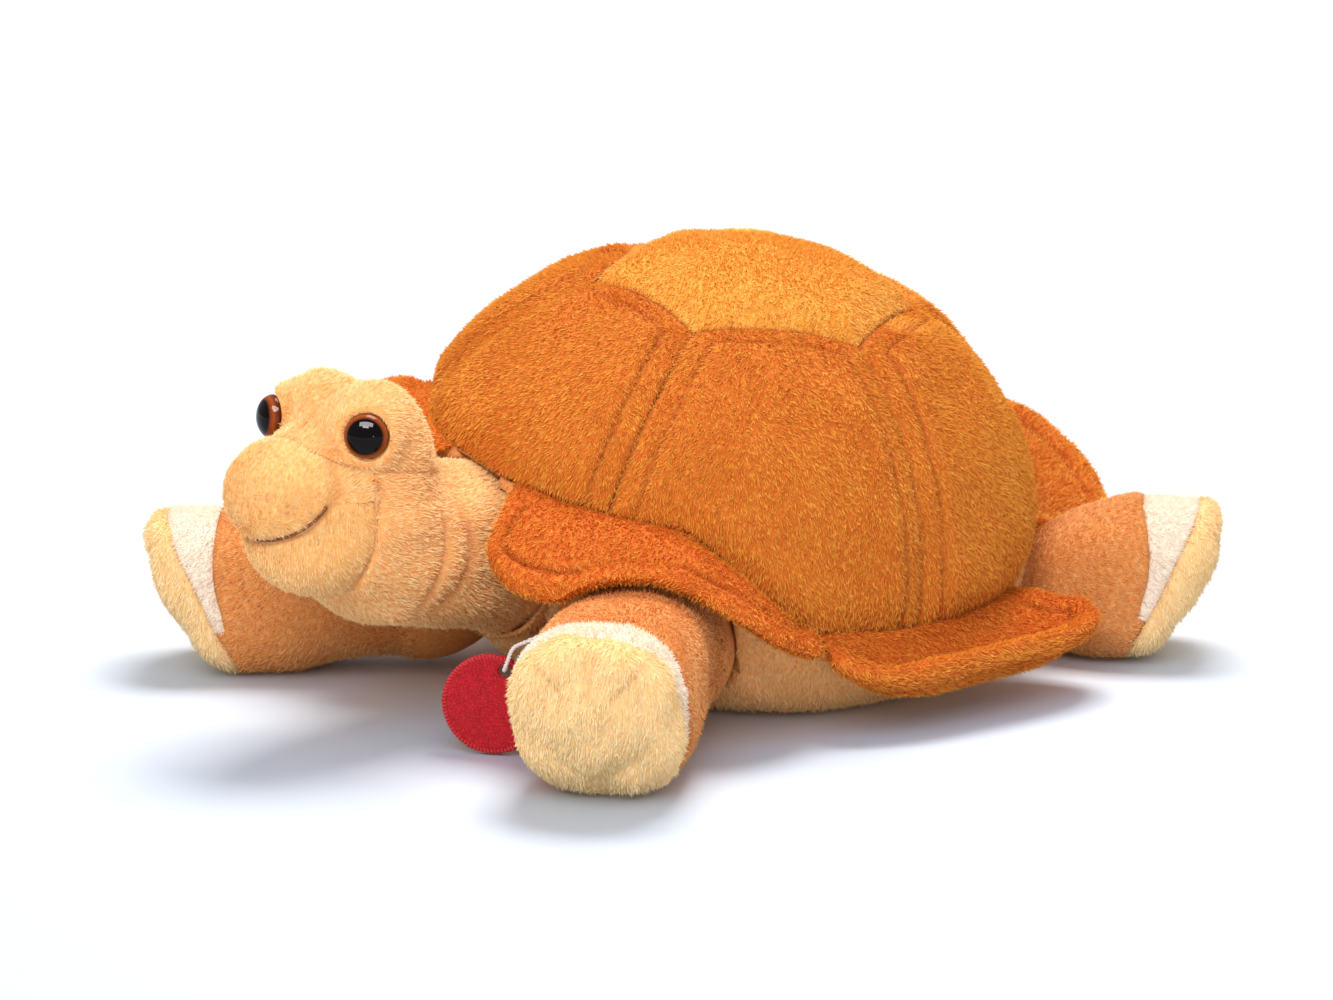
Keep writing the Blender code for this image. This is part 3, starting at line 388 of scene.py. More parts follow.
def pileTree():
    # Tufts of pile: thin three-sided spikes that lean along the nap
    tree, board, given = startTree("pileTufts", (
        ("Density", "Float"), ("Length", "Float"), ("Width", "Float"), ("Stand", "Float"),
        ("Ruffle", "Float"), ("Clump", "Float"), ("Clump Scale", "Float"), ("Seed", "Int"),
        ("Pile", "Material")))

    def named(name, kind="FLOAT"):
        return board.geometry("InputNamedAttribute", {"Name": name}, data_type=kind)

    scatter = tree.nodes.new("GeometryNodeDistributePointsOnFaces")
    board.feed(scatter.inputs["Mesh"], given["Geometry"])
    board.feed(scatter.inputs["Density"], given["Density"] * named("pile"))
    board.feed(scatter.inputs["Seed"], given["Seed"])
    outward = Wire(board, scatter.outputs["Normal"])

    stray = board.node("FunctionNodeRandomValue", {"data_type": "FLOAT_VECTOR"},
                       {0: (-1.0, -1.0, -1.0), 1: (1.0, 1.0, 1.0), "Seed": given["Seed"] + 1.0})
    way = board.vector("ADD", board.stretched(outward, given["Stand"]), named("nap", "FLOAT_VECTOR"))
    way = board.vector("ADD", way, board.stretched(stray, given["Ruffle"]))
    clumps = {"Vector": board.geometry("InputPosition", None), "Scale": given["Clump Scale"]}
    pull = board.node("ShaderNodeTexNoise", None, {**clumps, "Detail": 1.0}, 1)
    pull = board.vector("SUBTRACT", pull, (0.5, 0.5, 0.5))
    way = board.vector("ADD", way, board.stretched(pull, given["Clump"]))
    heap = board.node("ShaderNodeTexNoise", None, {**clumps, "Detail": 0.0})
    turn = board.node("FunctionNodeAlignRotationToVector", {"axis": "Z"}, {"Vector": way})
    size = board.chance(*spikes["sizes"], given["Seed"] + 2.0)
    width = given["Width"] * size
    heap = heap * spikes["heapShare"] + spikes["heapLeast"]
    length = given["Length"] * size * named("pileLength") * heap
    scale = board.node("ShaderNodeCombineXYZ", None, {0: width, 1: width, 2: length})

    cone = {"Vertices": 3, "Radius Top": 0.0, "Radius Bottom": 1.0, "Depth": 1.0}
    spike = board.geometry("MeshCone", cone, fill_type="NGON")
    height = board.node("ShaderNodeSeparateXYZ", None, {0: board.geometry("InputPosition", None)}, 2)
    spike = board.stored(spike, "tip", height, domain="POINT")
    tufts = board.geometry("InstanceOnPoints", {"Points": Wire(board, scatter.outputs["Points"]),
                                                "Instance": spike, "Rotation": turn, "Scale": scale})
    tufts = board.stored(tufts, "tuft", board.geometry("InputIndex", None) + 1.0, "INT")
    tufts = board.stored(tufts, "shade", board.chance(0.0, 1.0, given["Seed"] + 3.0))
    tufts = board.geometry("RealizeInstances", {"Geometry": tufts})
    joined = tree.nodes.new("GeometryNodeJoinGeometry")
    tree.links.new(tufts.socket, joined.inputs[0])
    tree.links.new(given["Geometry"].socket, joined.inputs[0])
    return paintedOut(tree, board, Wire(board, joined.outputs[0]), given["Pile"])


def store(mesh, name, values, kind="FLOAT", domain="POINT"):
    # A value for each point or face, and nothing for those that come after the last value
    layer = mesh.attributes.new(name, kind, domain)
    part, width = ("vector", 3) if kind == "FLOAT_VECTOR" else ("value", 1)
    whole = np.zeros(len(layer.data) * width)
    values = np.asarray(values, float).ravel()
    whole[:len(values)] = values
    layer.data.foreach_set(part, whole)


def layBake(mesh):
    # The skin takes the lower third of the map and every tuft a small square of its own above it
    corner = np.empty(len(mesh.loops), int)
    mesh.loops.foreach_get("vertex_index", corner)
    tuft = np.zeros(len(mesh.vertices), int)
    mesh.attributes["tuft"].data.foreach_get("value", tuft)
    tip = np.zeros(len(mesh.vertices))
    mesh.attributes["tip"].data.foreach_get("value", tip)
    spot = np.zeros((len(mesh.vertices), 3))
    mesh.attributes["place"].data.foreach_get("vector", spot.reshape(-1))
    uv = spot[:, :2] * (0.98, 0.30) + 0.01
    own = tuft > 0
    wide = int(sqrt(max(tuft.max(), 1))) + 1
    number = np.maximum(tuft - 1, 0)
    order = np.zeros(len(tuft))
    inTuft = np.flatnonzero(own)
    inTuft = inTuft[np.lexsort((inTuft, number[inTuft]))]
    order[inTuft] = np.arange(len(inTuft)) % 4
    inside = np.stack([np.where(tip > 0.5, 0.5, 0.15 + order * 0.22), 0.12 + 0.76 * tip], 1)
    cell = np.stack([number % wide, number // wide], 1) + inside
    uv[own] = (cell / wide * (0.98, 0.64) + (0.01, 0.34))[own]
    layer = mesh.uv_layers.new(name="OFBake")
    layer.data.foreach_set("uv", uv[corner].ravel())


tuftTree = pileTree()
quickPile = 1.0


def runTree(item, tree, values):
    # The item gets the mesh that the tree makes of it
    step = item.modifiers.new("tree", "NODES")
    step.node_group = tree
    for socket in tree.interface.items_tree:
        if socket.in_out == "INPUT" and socket.name in values:
            step[socket.identifier] = values[socket.name]
    item.update_tag()
    bpy.context.view_layer.update()
    dressed = item.evaluated_get(bpy.context.evaluated_depsgraph_get())
    mesh = bpy.data.meshes.new_from_object(dressed)
    item.modifiers.remove(step)
    plain = item.data
    item.data = mesh
    bpy.data.meshes.remove(plain)
    mesh.name = item.name


def coverWithPile(item, pile, material, seed):
    runTree(item, tuftTree, {**pile, "Seed": seed, "Pile": material})
    layBake(item.data)


def dressMesh(item, pile, material, seed, nap, cover, places):
    # Pile over a closed mesh: which faces carry it, which way it leans and where it lies on the map
    mesh = item.data
    count = len(mesh.vertices)
    store(mesh, "pileLength", np.ones(count))
    store(mesh, "nap", np.tile(nap, (count, 1)), "FLOAT_VECTOR")
    store(mesh, "place", np.column_stack([places, np.zeros(count)]), "FLOAT_VECTOR")
    store(mesh, "pile", cover, domain="FACE")
    coverWithPile(item, pile, material, seed)


def bareWhere(hidden, atPoles):
    # Says where a panel has no pile, from a value for each point of its grid and one for its poles
    return lambda points: np.append(hidden.ravel(), np.full(len(points) - hidden.size, atPoles))


def closedBehind(points, faces):
    # The back of a panel closes on a point inside the stuffing
    edges = {}
    for face in faces:
        for here, there in zip(face, face[1:] + face[:1]):
            if (there, here) in edges:
                del edges[(there, here)]
            else:
                edges[(here, there)] = True
    rim = sorted({corner for edge in edges for corner in edge})
    back = [(there, here, len(points)) for here, there in edges]
    return np.vstack([points, points[rim].mean(axis=0)[None]]), faces + back


def makePanel(name, body, nodes, grid, look, pile, nap, seed, ring=False, startPole=None,
              endPole=None, tucked=(), lumps=(0.0, 0.02), groove=None, bare=None, thick=True, tuck=1.0,
              foldShade=None):
    # One sewn panel: its surface, tucked in at its seams, a cloth's thickness, and the pile over it
    material, slot = look
    rows, columns = grid.shape[:2]
    poles = [pole for pole in (startPole, endPole) if pole is not None]
    ends = [end for end, pole in ((0.0, startPole), (1.0, endPole)) if pole is not None]

    def listed(values, atPoles=0.0):
        return np.append(values.ravel(), np.full(len(poles), atPoles))

    points = np.vstack([grid.reshape(-1, 3)] + [np.asarray(pole)[None] for pole in poles])
    count = len(points)
    faces = gridFaces(rows, columns, ring, startPole is not None, endPole is not None)
    normals = normalsOf(points, faces)
    outward = np.mean(np.einsum("ij,ij->i", normals, points - points.mean(axis=0))) >= 0.0
    if thick and not outward:
        faces = [tuple(reversed(face)) for face in faces]
        normals = -normals

    away = listed(borderDistance(grid, tucked, ring), 1.0)
    shape = -cloth["tuck"] * tuck * bell(away, 0.0, cloth["tuckWidth"])
    # Darker along the tucked seams, in the grooves and in the folds: painted shade where the cloth dips in
    dark = tuck * bell(away, 0.0, cloth["seamShadeWidth"])
    if groove is not None:
        shape -= cloth["grooveDepth"] * listed(groove)
        dark = np.maximum(dark, listed(groove) * cloth["grooveShade"])
    if foldShade is not None:
        dark = np.maximum(dark, listed(foldShade))
    shape += lumps[0] * waves(points, lumps[1], seed)
    moved = points + normals * shape[:, None]
    grounded = points[:, 2] < cloth["grounded"]
    moved[grounded, 2] = np.maximum(moved[grounded, 2], points[grounded, 2])
    moved[:, 2] = np.maximum(moved[:, 2], cloth["lowest"])

    # the way the pile leans along the cloth: with the nap, in soft swirls
    swirl = np.stack([waves(points, cloth["swirlSize"], seed + part) for part in (11, 12, 13)], 1)
    lean = np.asarray(nap, float) + swirl * cloth["swirl"]
    lean -= normals * np.einsum("ij,ij->i", lean, normals)[:, None]
    lean /= np.maximum(np.linalg.norm(lean, axis=1), 1e-6)[:, None]
    cover = np.ones(count)
    if bare is not None:
        cover *= 1.0 - bare(moved)
    cover[moved[:, 2] < cloth["bareBelow"]] = 0.0

    down, across = np.meshgrid(np.linspace(0.0, 1.0, rows), np.linspace(0.0, 1.0, columns), indexing="ij")
    place = [(0.5, end, 0.0) for end in ends + [0.5]]
    place = np.vstack([np.stack([across.ravel(), down.ravel(), 0.0 * down.ravel()], 1), place])

    allPoints, allFaces = closedBehind(moved, faces) if thick else (moved, faces)
    mesh = meshFrom(name, allPoints, allFaces)
    mesh.shade_smooth()
    store(mesh, "seam", dark)
    store(mesh, "pileLength", 1.0 - cloth["shortBy"] * np.clip(dark, 0.0, 1.0))
    store(mesh, "nap", lean, "FLOAT_VECTOR")
    store(mesh, "place", place[:len(allPoints)], "FLOAT_VECTOR")
    store(mesh, "pile", [min(cover[corner] for corner in face) for face in faces], domain="FACE")
    item = addObject(name, mesh, material)
    coverWithPile(item, pile, material, seed)
    fit(item, body, slot, *nodes)
    print("  ", name, len(item.data.polygons), "faces")


# colours of the cloths

def clothLook(name, slot, root, tip, seam, patchy=0.16):
    return plush(name, tone(*root), tone(*tip), tone(*seam), patchy), slot


# Each cloth's third colour is the painted shade of its seams, grooves and creases
domeLook = clothLook("domePlush", "shell_orange", (204, 102, 12), (248, 184, 66), (168, 72, 6))
# The top panel is the same orange cloth as the other shell panels, made lighter as painted light from the
# lamp above
topPaintedLightLook = clothLook("topPaintedLightPlush", "shell_orange", (228, 150, 44), (252, 216, 118), (186, 96, 14))
brimLook = clothLook("brimPlush", "brim_orange", (204, 92, 6), (255, 184, 66), (158, 60, 4))
peachLook = clothLook("peachPlush", "body_peach", (246, 174, 98), (255, 232, 174), (212, 122, 64), 0.12)
tanLook = clothLook("tanPlush", "leg_tan", (220, 138, 66), (255, 212, 146), (190, 114, 58), 0.12)
creamLook = clothLook("creamPlush", "sole_cream", (243, 181, 104), (255, 228, 170), (222, 150, 84), 0.12)
soleLook = clothLook("solePlush", "sole_cream", (251, 208, 142), (255, 240, 196), (224, 164, 96), 0.12)
paleLook = clothLook("palePlush", "toe_pale", (248, 230, 210), (255, 247, 234), (232, 198, 160), 0.10)


def pileOf(density, length, width, stand, ruffle, clump, clumpScale):
    # Tufts to a square metre, their length and width, how upright, unruly and bunched they are
    return {"Density": density * quickPile, "Length": length, "Width": width, "Stand": stand,
            "Ruffle": ruffle, "Clump": clump, "Clump Scale": clumpScale}


domePile = pileOf(2.5e6, 0.0015, 0.00019, 0.85, 0.26, 2.9, 900.0)
brimPile = pileOf(2.5e6, 0.0015, 0.00019, 0.90, 0.30, 3.0, 850.0)
bodyPile = pileOf(2.1e6, 0.0013, 0.00018, 0.80, 0.32, 1.9, 700.0)
bellyPile = pileOf(1.8e6, 0.0013, 0.00018, 0.80, 0.32, 1.9, 700.0)
headPile = pileOf(4.0e6, 0.0012, 0.00016, 0.70, 0.28, 2.5, 800.0)
solePile = pileOf(3.2e6, 0.0014, 0.00017, 0.90, 0.36, 2.6, 560.0)
feltPile = pileOf(9.0e6, 0.00045, 0.00006, 0.5, 0.9, 1.0, 1500.0)


# shell

shell = {
    "halfWidth": 0.0880, "halfLength": 0.1010, "rise": 0.0862, "middle": (0.0, 0.0067, 0.0381),
    "roll": 12.8, "pitch": -2.2, "hexagonShare": 0.50, "pull": 0.0028, "pullWidth": 0.0110,
    "frontLift": 21.0, "sideLift": 4.0, "archStart": 42.0, "archEnd": 72.0,
    "rearLift": 7.0, "rearTurn": 142.0, "rearWidth": 18.0, "seamRoom": 0.0006, "stitchIn": 0.0066,
    "stitchWidth": 0.0008, "panelGap": -0.00006, "topSteps": (42, 168), "panelSteps": (64, 72),
}
shellFrame = np.array(Matrix.Translation(shell["middle"])
                      @ Euler((radians(shell["pitch"]), radians(shell["roll"]), 0.0)).to_matrix().to_4x4())
panelTurn = pi / 3.0
allSides = ("start", "end", "left", "right")


def toWorld(points):
    return points @ shellFrame[:3, :3].T + shellFrame[:3, 3]


def sideOf(turn):
    return np.abs((turn + pi) % (2.0 * pi) - pi)


def fromEdgeMiddle(turn):
    return (turn + panelTurn / 2.0) % panelTurn - panelTurn / 2.0


def hexagonLift(turn):
    return np.arccos(shell["hexagonShare"] * cos(panelTurn / 2.0) / np.cos(fromEdgeMiddle(turn)))


def baseLift(turn):
    side = sideOf(turn)
    front, low = radians(shell["frontLift"]), radians(shell["sideLift"])
    lift = front + (low - front) * smoothStep(radians(shell["archStart"]), radians(shell["archEnd"]), side)
    rear = smoothStep(0.0, radians(shell["rearWidth"]), np.abs(side - radians(shell["rearTurn"])))
    return lift + radians(shell["rearLift"]) * (1.0 - rear)


def seamDistance(turn, lift):
    edge = hexagonLift(turn)
    toEdge = np.abs(lift - edge) * shell["rise"]
    spoke = (panelTurn / 2.0 - np.abs(fromEdgeMiddle(turn))) * np.cos(lift) * shell["halfWidth"]
    base = np.maximum(lift - baseLift(turn), 0.0) * shell["rise"]
    below = lift < edge
    sewn = np.where(below, np.minimum(toEdge, spoke), toEdge)
    return sewn, np.where(below, np.minimum(sewn, base), sewn)


def unit(ways):
    return ways / np.linalg.norm(ways, axis=-1, keepdims=True)


def domePoint(turn, lift):
    # A point of the plain dome, before its seams are pulled in, and the way out of it
    halves = np.array([shell["halfWidth"], shell["halfLength"], shell["rise"]])
    way = wayOf(turn, lift)
    return way * halves, unit(way / halves)


def shellSkin(turn, lift):
    turn, lift = np.broadcast_arrays(np.asarray(turn, float), np.asarray(lift, float))
    point, normal = domePoint(turn, lift)
    nearest = seamDistance(turn, lift)[1]
    pulled = shell["pull"] * (1.0 - smoothStep(0.0, shell["pullWidth"], nearest))
    return toWorld(point - normal * pulled[..., None])


def stitchLine(turn, lift):
    # The stitched line beside each seam, pressed in and darkened as painted shade in its groove
    sewn = seamDistance(turn, lift)[0]
    dips = 0.80 + 0.20 * np.sin(turn * 210.0 + lift * 160.0)
    return bell(sewn, shell["stitchIn"], shell["stitchWidth"]) * dips


def makeShell():
    gap = shell["panelGap"]
    rows, columns = shell["topSteps"]
    turns = around(columns)
    shares = 1.0 - (1.0 - np.linspace(0.0, 1.0, rows)[1:]) ** 1.25
    edge = hexagonLift(turns) + gap / shell["rise"]
    lift = pi / 2.0 - (pi / 2.0 - edge)[None] * shares[:, None]
    makePanel("shellTopPanel", "body", ["shell_top_panel"], shellSkin(turns, lift), topPaintedLightLook, domePile,
              (0.35, -0.55, -0.6), 21, ring=True, startPole=shellSkin(0.0, pi / 2.0), tucked=("end",),
              lumps=(0.00035, 0.022), tuck=0.8)
    rows, columns = shell["panelSteps"]
    reach = panelTurn / 2.0 - gap / shell["halfWidth"]
    shares = np.linspace(0.0, 1.0, rows)
    for index, name in enumerate(("front", "front_left", "rear_left", "rear", "rear_right", "front_right")):
        middle = index * panelTurn
        turn = middle + np.linspace(-reach, reach, columns)
        high = hexagonLift(turn) - gap / shell["rise"]
        low = baseLift(turn) + shell["seamRoom"] / shell["rise"]
        lift = high[None] + (low - high)[None] * shares[:, None]
        nap = np.array([sin(middle) * 0.25 - 0.25, -cos(middle) * 0.25 - 0.1, -1.0])
        makePanel("shellPanel" + joinedWords(name), "body", ["shell_panel_" + name], shellSkin(turn, lift),
                  domeLook, domePile, nap, 31 + index, tucked=allSides, lumps=(0.0004, 0.024),
                  groove=stitchLine(turn, lift), tuck=0.6)


# brim petals

brim = {"root": 0.0008, "padding": 0.0056, "reach": 0.0300, "endShare": 0.55, "rootShare": 0.10,
        "tucked": 0.0015, "stitchIn": 0.0078, "stitchWidth": 0.0009, "stitchPress": 0.35, "rimRound": 0.0016,
        "fullFrom": 0.42, "steps": 84}
petals = (
    # first and last turn, lean of the ends, reach and rise at first, middle and last station, and sag
    ("front_left", 10.2, 69.0, (4.0, 0.0), (1.04, 0.82, 0.55), (-0.78, -0.36, -0.10), 0.0),
    ("rear_left", 71.0, 121.0, (0.0, 0.0), (0.70, 0.72, 1.34), (-0.20, 0.06, 0.12), 0.37),
    ("rear", 151.5, 208.5, (0.0, 0.0), (1.48, 1.28, 1.40), (-0.46, 0.50, 0.05), 0.05),
    ("rear_right", 239.0, 289.0, (0.0, 0.0), (1.30, 0.80, 0.70), (-0.30, -0.20, -0.20), 0.15),
    ("front_right", 291.0, 349.0, (0.0, -9.0), (0.55, 0.80, 1.00), (-0.20, -0.40, -1.00), 0.0),
)


def through(shares, along):
    first, middle, last = shares
    return (first * (1.0 - along) * (1.0 - 2.0 * along) + middle * 4.0 * along * (1.0 - along)
            + last * along * (2.0 * along - 1.0))


def petalMiddle(petal, along, out):
    name, first, last, leans, reaches, rises, sag = petal
    along, out = np.broadcast_arrays(np.asarray(along, float), np.asarray(out, float))
    free = np.maximum(out - brim["rootShare"], 0.0) / (1.0 - brim["rootShare"])
    seamTurn = first + (last - first) * along
    turn = np.radians(seamTurn + (leans[0] * (1.0 - along) + leans[1] * along) * free)
    lift = baseLift(np.radians(seamTurn))
    seam, normal = domePoint(turn, lift)
    seam = seam - normal * shell["pull"]
    away = unit(np.stack([np.sin(turn) / shell["halfWidth"], -np.cos(turn) / shell["halfLength"],
                          0.0 * turn], -1))
    ends = brim["endShare"] + (1.0 - brim["endShare"]) * (1.0 - np.abs(2.0 * along - 1.0) ** 4)
    reach = (brim["reach"] * through(reaches, along) * ends + brim["tucked"]) * out - brim["tucked"]
    dip = sag * 4.0 * free * (1.0 - free) * (1.0 - np.abs(2.0 * along - 1.0) ** 4)
    rise = brim["reach"] * ends * (through(rises, along) * free - dip)
    point = seam + away * reach[..., None]
    point[..., 2] += rise
    world = toWorld(point)
    world[..., 2] = np.maximum(world[..., 2], np.where(free > 0.0, legTop(world), -1.0))
    return world


def makeBrim():
    along = np.linspace(0.0, 1.0, brim["steps"])
    # from the seam out, closer together at the root and at the rim
    out = np.concatenate([np.linspace(0.0, 0.2, 5), np.linspace(0.2, 0.9, 22)[1:],
                          np.linspace(0.9, 1.0, 7)[1:]])
    puff = smoothStep(brim["rootShare"], brim["fullFrom"], out)[None]
    for index, petal in enumerate(petals):
        grid = petalMiddle(petal, along[:, None], out[None])
        faces = gridFaces(len(along), len(out), False, False, False)
        normals = normalsOf(grid.reshape(-1, 3), faces).reshape(grid.shape)
        if normals[..., 2].mean() < 0.0:
            normals = -normals
        away = borderDistance(grid, ("right", "start", "end"), False)
        rim = np.clip(1.0 - np.exp(-away / brim["rimRound"]), 0.06, 1.0)
        half = (brim["root"] + (brim["padding"] - brim["root"]) * puff) / 2.0 * rim
        # The stitched line inside the rim, pressed in and darkened as painted shade
        line = bell(away, brim["stitchIn"], brim["stitchWidth"]) * smoothStep(0.2, 0.3, out)[None]
        step = normals * (half * (1.0 - brim["stitchPress"] * line))[..., None]
        ringed = np.concatenate([grid + step, (grid - step)[:, ::-1]], axis=1)
        lines = np.concatenate([line, line[:, ::-1]], axis=1)
        middleTurn = radians((petal[1] + petal[2]) / 2.0)
        makePanel("brimPetal" + joinedWords(petal[0]), "body", ["brim_petal_" + petal[0]], ringed, brimLook,
                  brimPile, np.array([sin(middleTurn), -cos(middleTurn), -0.2]), 41 + index, ring=True,
                  startPole=ringed[0].mean(axis=0), endPole=ringed[-1].mean(axis=0), groove=lines * 0.7,
                  lumps=(0.0003, 0.02), thick=False)


# belly casing

belly = {"halfWidth": 0.060, "halfLength": 0.047, "middleY": 0.0150, "kneeShare": 0.90, "flat": 0.0005,
         "cupRoom": 0.0010, "cupBare": (0.0015, 0.0030), "steps": 200}
neck = {"pivot": (0.0, -0.0737, 0.0455), "ball": 0.0233, "tube": 0.0225, "end": (0.0, -0.0380, 0.0075),
        "collar": 0.0256}


def bowlPoint(turn, share):
    top = shellSkin(turn, baseLift(turn) - shell["seamRoom"] / shell["rise"])
    foot = np.stack([belly["halfWidth"] * np.sin(turn),
                     belly["middleY"] - belly["halfLength"] * np.cos(turn),
                     np.full_like(turn, -belly["flat"])], -1)
    knee = foot + (top - foot) * belly["kneeShare"]
    knee[..., 2] = -belly["flat"]
    share = share[..., None]
    point = top * (1.0 - share) ** 2 + knee * 2.0 * share * (1.0 - share) + foot * share ** 2
    point[..., 2] = np.maximum(point[..., 2], 0.0)
    return point


def hollow(points, inward, centre, radius):
    # Presses the surface in around a ball, so that the ball sits in a cup
    offset = points - centre
    along = np.einsum("...j,...j->...", offset, inward)
    apart = np.einsum("...j,...j->...", offset, offset)
    inside = apart < radius ** 2
    reach = -along + np.sqrt(np.maximum(along ** 2 - apart + radius ** 2, 0.0))
    return points + inward * np.where(inside, reach, 0.0)[..., None]


def makeBelly():
    turns = around(belly["steps"])
    grid = bowlPoint(*np.meshgrid(turns, np.concatenate([np.linspace(0.0, 0.9, 50), [0.95, 1.0]])))
    inward = unit(np.array([0.0, belly["middleY"], 0.045]) - grid)
    cups = [(np.array(neck["pivot"]), neck["collar"])] + [(one["root"], one["ball"]) for one in legs]
    pressed = np.zeros(grid.shape[:2])
    for centre, radius in cups:
        moved = hollow(grid, inward, centre, radius + belly["cupRoom"])
        pressed = np.maximum(pressed, np.linalg.norm(moved - grid, axis=-1))
        grid = moved
    makePanel("bodyCasing", "body", ["body_casing", "body_stuffing"], grid, peachLook, bellyPile,
              (0.0, 0.2, -1.0), 51, ring=True, endPole=(0.0, belly["middleY"], 0.0), tucked=("start",),
              lumps=(0.0004, 0.03), bare=bareWhere(smoothStep(*belly["cupBare"], pressed), 0.0))


# legs

leg = {
    # radius of the round root, length, where it is sewn on round the shell, and where it points
    "ends": {"front": (0.0232, 0.0735, 40.0, 38.0), "rear": (0.0165, 0.0600, 142.0, 131.0)},
    "rootShare": 0.86, "rootGap": 0.0018, "join": 0.40, "swing": 6.0, "footHalfWidth": 0.0220,
    "footHalfHeight": 0.0232, "footEdge": 0.0100, "footSink": 0.0005, "lean": 0.45, "crown": 0.0035,
    "patchLength": 0.0140, "patchEnd": 0.0030, "patchTurn": 105.0, "toes": (-38.0, 2.0, 40.0),
    "toeWidth": 0.065, "steps": 116,
}


def legPlaces():
    places = []
    wide, long, share = shell["halfWidth"], shell["halfLength"], leg["rootShare"]
    for end, (ball, length, turn, heading) in leg["ends"].items():
        for side, hand in ((1.0, "left"), (-1.0, "right")):
            root = np.array([side * wide * share * sin(radians(turn)),
                             shell["middle"][1] - long * share * cos(radians(turn)), ball + leg["rootGap"]])
            places.append({"name": end + "_" + hand, "side": side, "ball": ball, "length": length,
                           "root": root, "heading": side * radians(heading) - pi / 2.0})
    return places


legs = legPlaces()


def legRing(one, place):
    ball, height = one["ball"], one["root"][2]
    join = ball * leg["join"]
    sideEnd = one["length"] - leg["footEdge"]
    footHeight = leg["footHalfHeight"] - leg["footSink"]
    place = np.asarray(place, float)
    swing = pi + (acos(leg["join"]) - pi) * (1.0 + np.minimum(place, 0.0))
    grow = smoothStep(0.0, 0.7, place)
    start = sqrt(ball ** 2 - join ** 2)
    rolled = np.clip(place - 1.0, 0.0, 1.0) * pi / 2.0
    inset = leg["footEdge"] * (1.0 - np.cos(rolled))
    onBall = place < 0.0
    tube = np.clip(place, 0.0, 1.0)
    along = join + (sideEnd - join) * tube + leg["footEdge"] * np.sin(rolled)
    along = np.where(onBall, ball * np.cos(swing), along)
    width = np.where(onBall, ball * np.sin(swing), start + (leg["footHalfWidth"] - start) * grow - inset)
    tall = np.where(onBall, ball * np.sin(swing), start + (leg["footHalfHeight"] - start) * grow - inset)
    middle = (footHeight - height) * grow
    return along, width, tall, middle, 2.0 + 0.6 * grow, leg["lean"] * smoothStep(0.35, 1.0, tube)


def legPoint(one, place, angle):
    along, width, tall, middle, power, lean = legRing(one, place)
    side, up = np.sin(angle), np.cos(angle)
    side = np.sign(side) * np.abs(side) ** (2.0 / power)
    up = np.sign(up) * np.abs(up) ** (2.0 / power)
    local = np.stack([along + lean * tall * up, width * side, middle + tall * up], -1)
    local[..., 2] = np.maximum(local[..., 2], -one["root"][2])
    return placeIn(one, local)


def placeIn(one, local):
    turn = one["heading"]
    return np.stack([local[..., 0] * cos(turn) - local[..., 1] * sin(turn),
                     local[..., 0] * sin(turn) + local[..., 1] * cos(turn), local[..., 2]], -1) + one["root"]


def legTop(points):
    room = brim["padding"] / 2.0 + 0.0021
    lowest = np.full(points.shape[:-1], -1.0)
    for one in legs:
        back = radians(leg["swing"]) if one["name"].startswith("front") else -radians(leg["swing"])
        for swing in (0.0, one["side"] * back / 2.0, one["side"] * back):
            turn = -one["heading"] - swing
            x, y = points[..., 0] - one["root"][0], points[..., 1] - one["root"][1]
            along, across = x * cos(turn) - y * sin(turn), x * sin(turn) + y * cos(turn)
            ball = one["ball"]
            place = (along - ball * leg["join"]) / (one["length"] - leg["footEdge"] - ball * leg["join"])
            ring = legRing(one, np.clip(place, 0.0, 1.0))
            roundTop = np.sqrt(np.maximum(ball ** 2 - along ** 2, 0.0))
            width = np.where(place < 0.0, roundTop, ring[1])
            tall = np.where(place < 0.0, roundTop, ring[2])
            middle = np.where(place < 0.0, 0.0, ring[3])
            bulge = np.sqrt(np.maximum(1.0 - (across / (width + room)) ** 2, 0.0))
            top = one["root"][2] + middle + (tall + room) * bulge
            under = (np.abs(across) < width + room) & (along > -ball) & (place <= 1.0)
            lowest = np.where(under, np.maximum(lowest, top), lowest)
    return lowest


def toeEdge(angle, length):
    side = sideOf(angle)
    turn = radians(leg["patchTurn"])
    reach = (leg["patchLength"] - leg["patchEnd"]) * np.cos(np.minimum(side / turn, 1.0) * pi / 2.0)
    return np.where(side > turn, 0.0, leg["patchEnd"] + reach) / (length - leg["footEdge"])


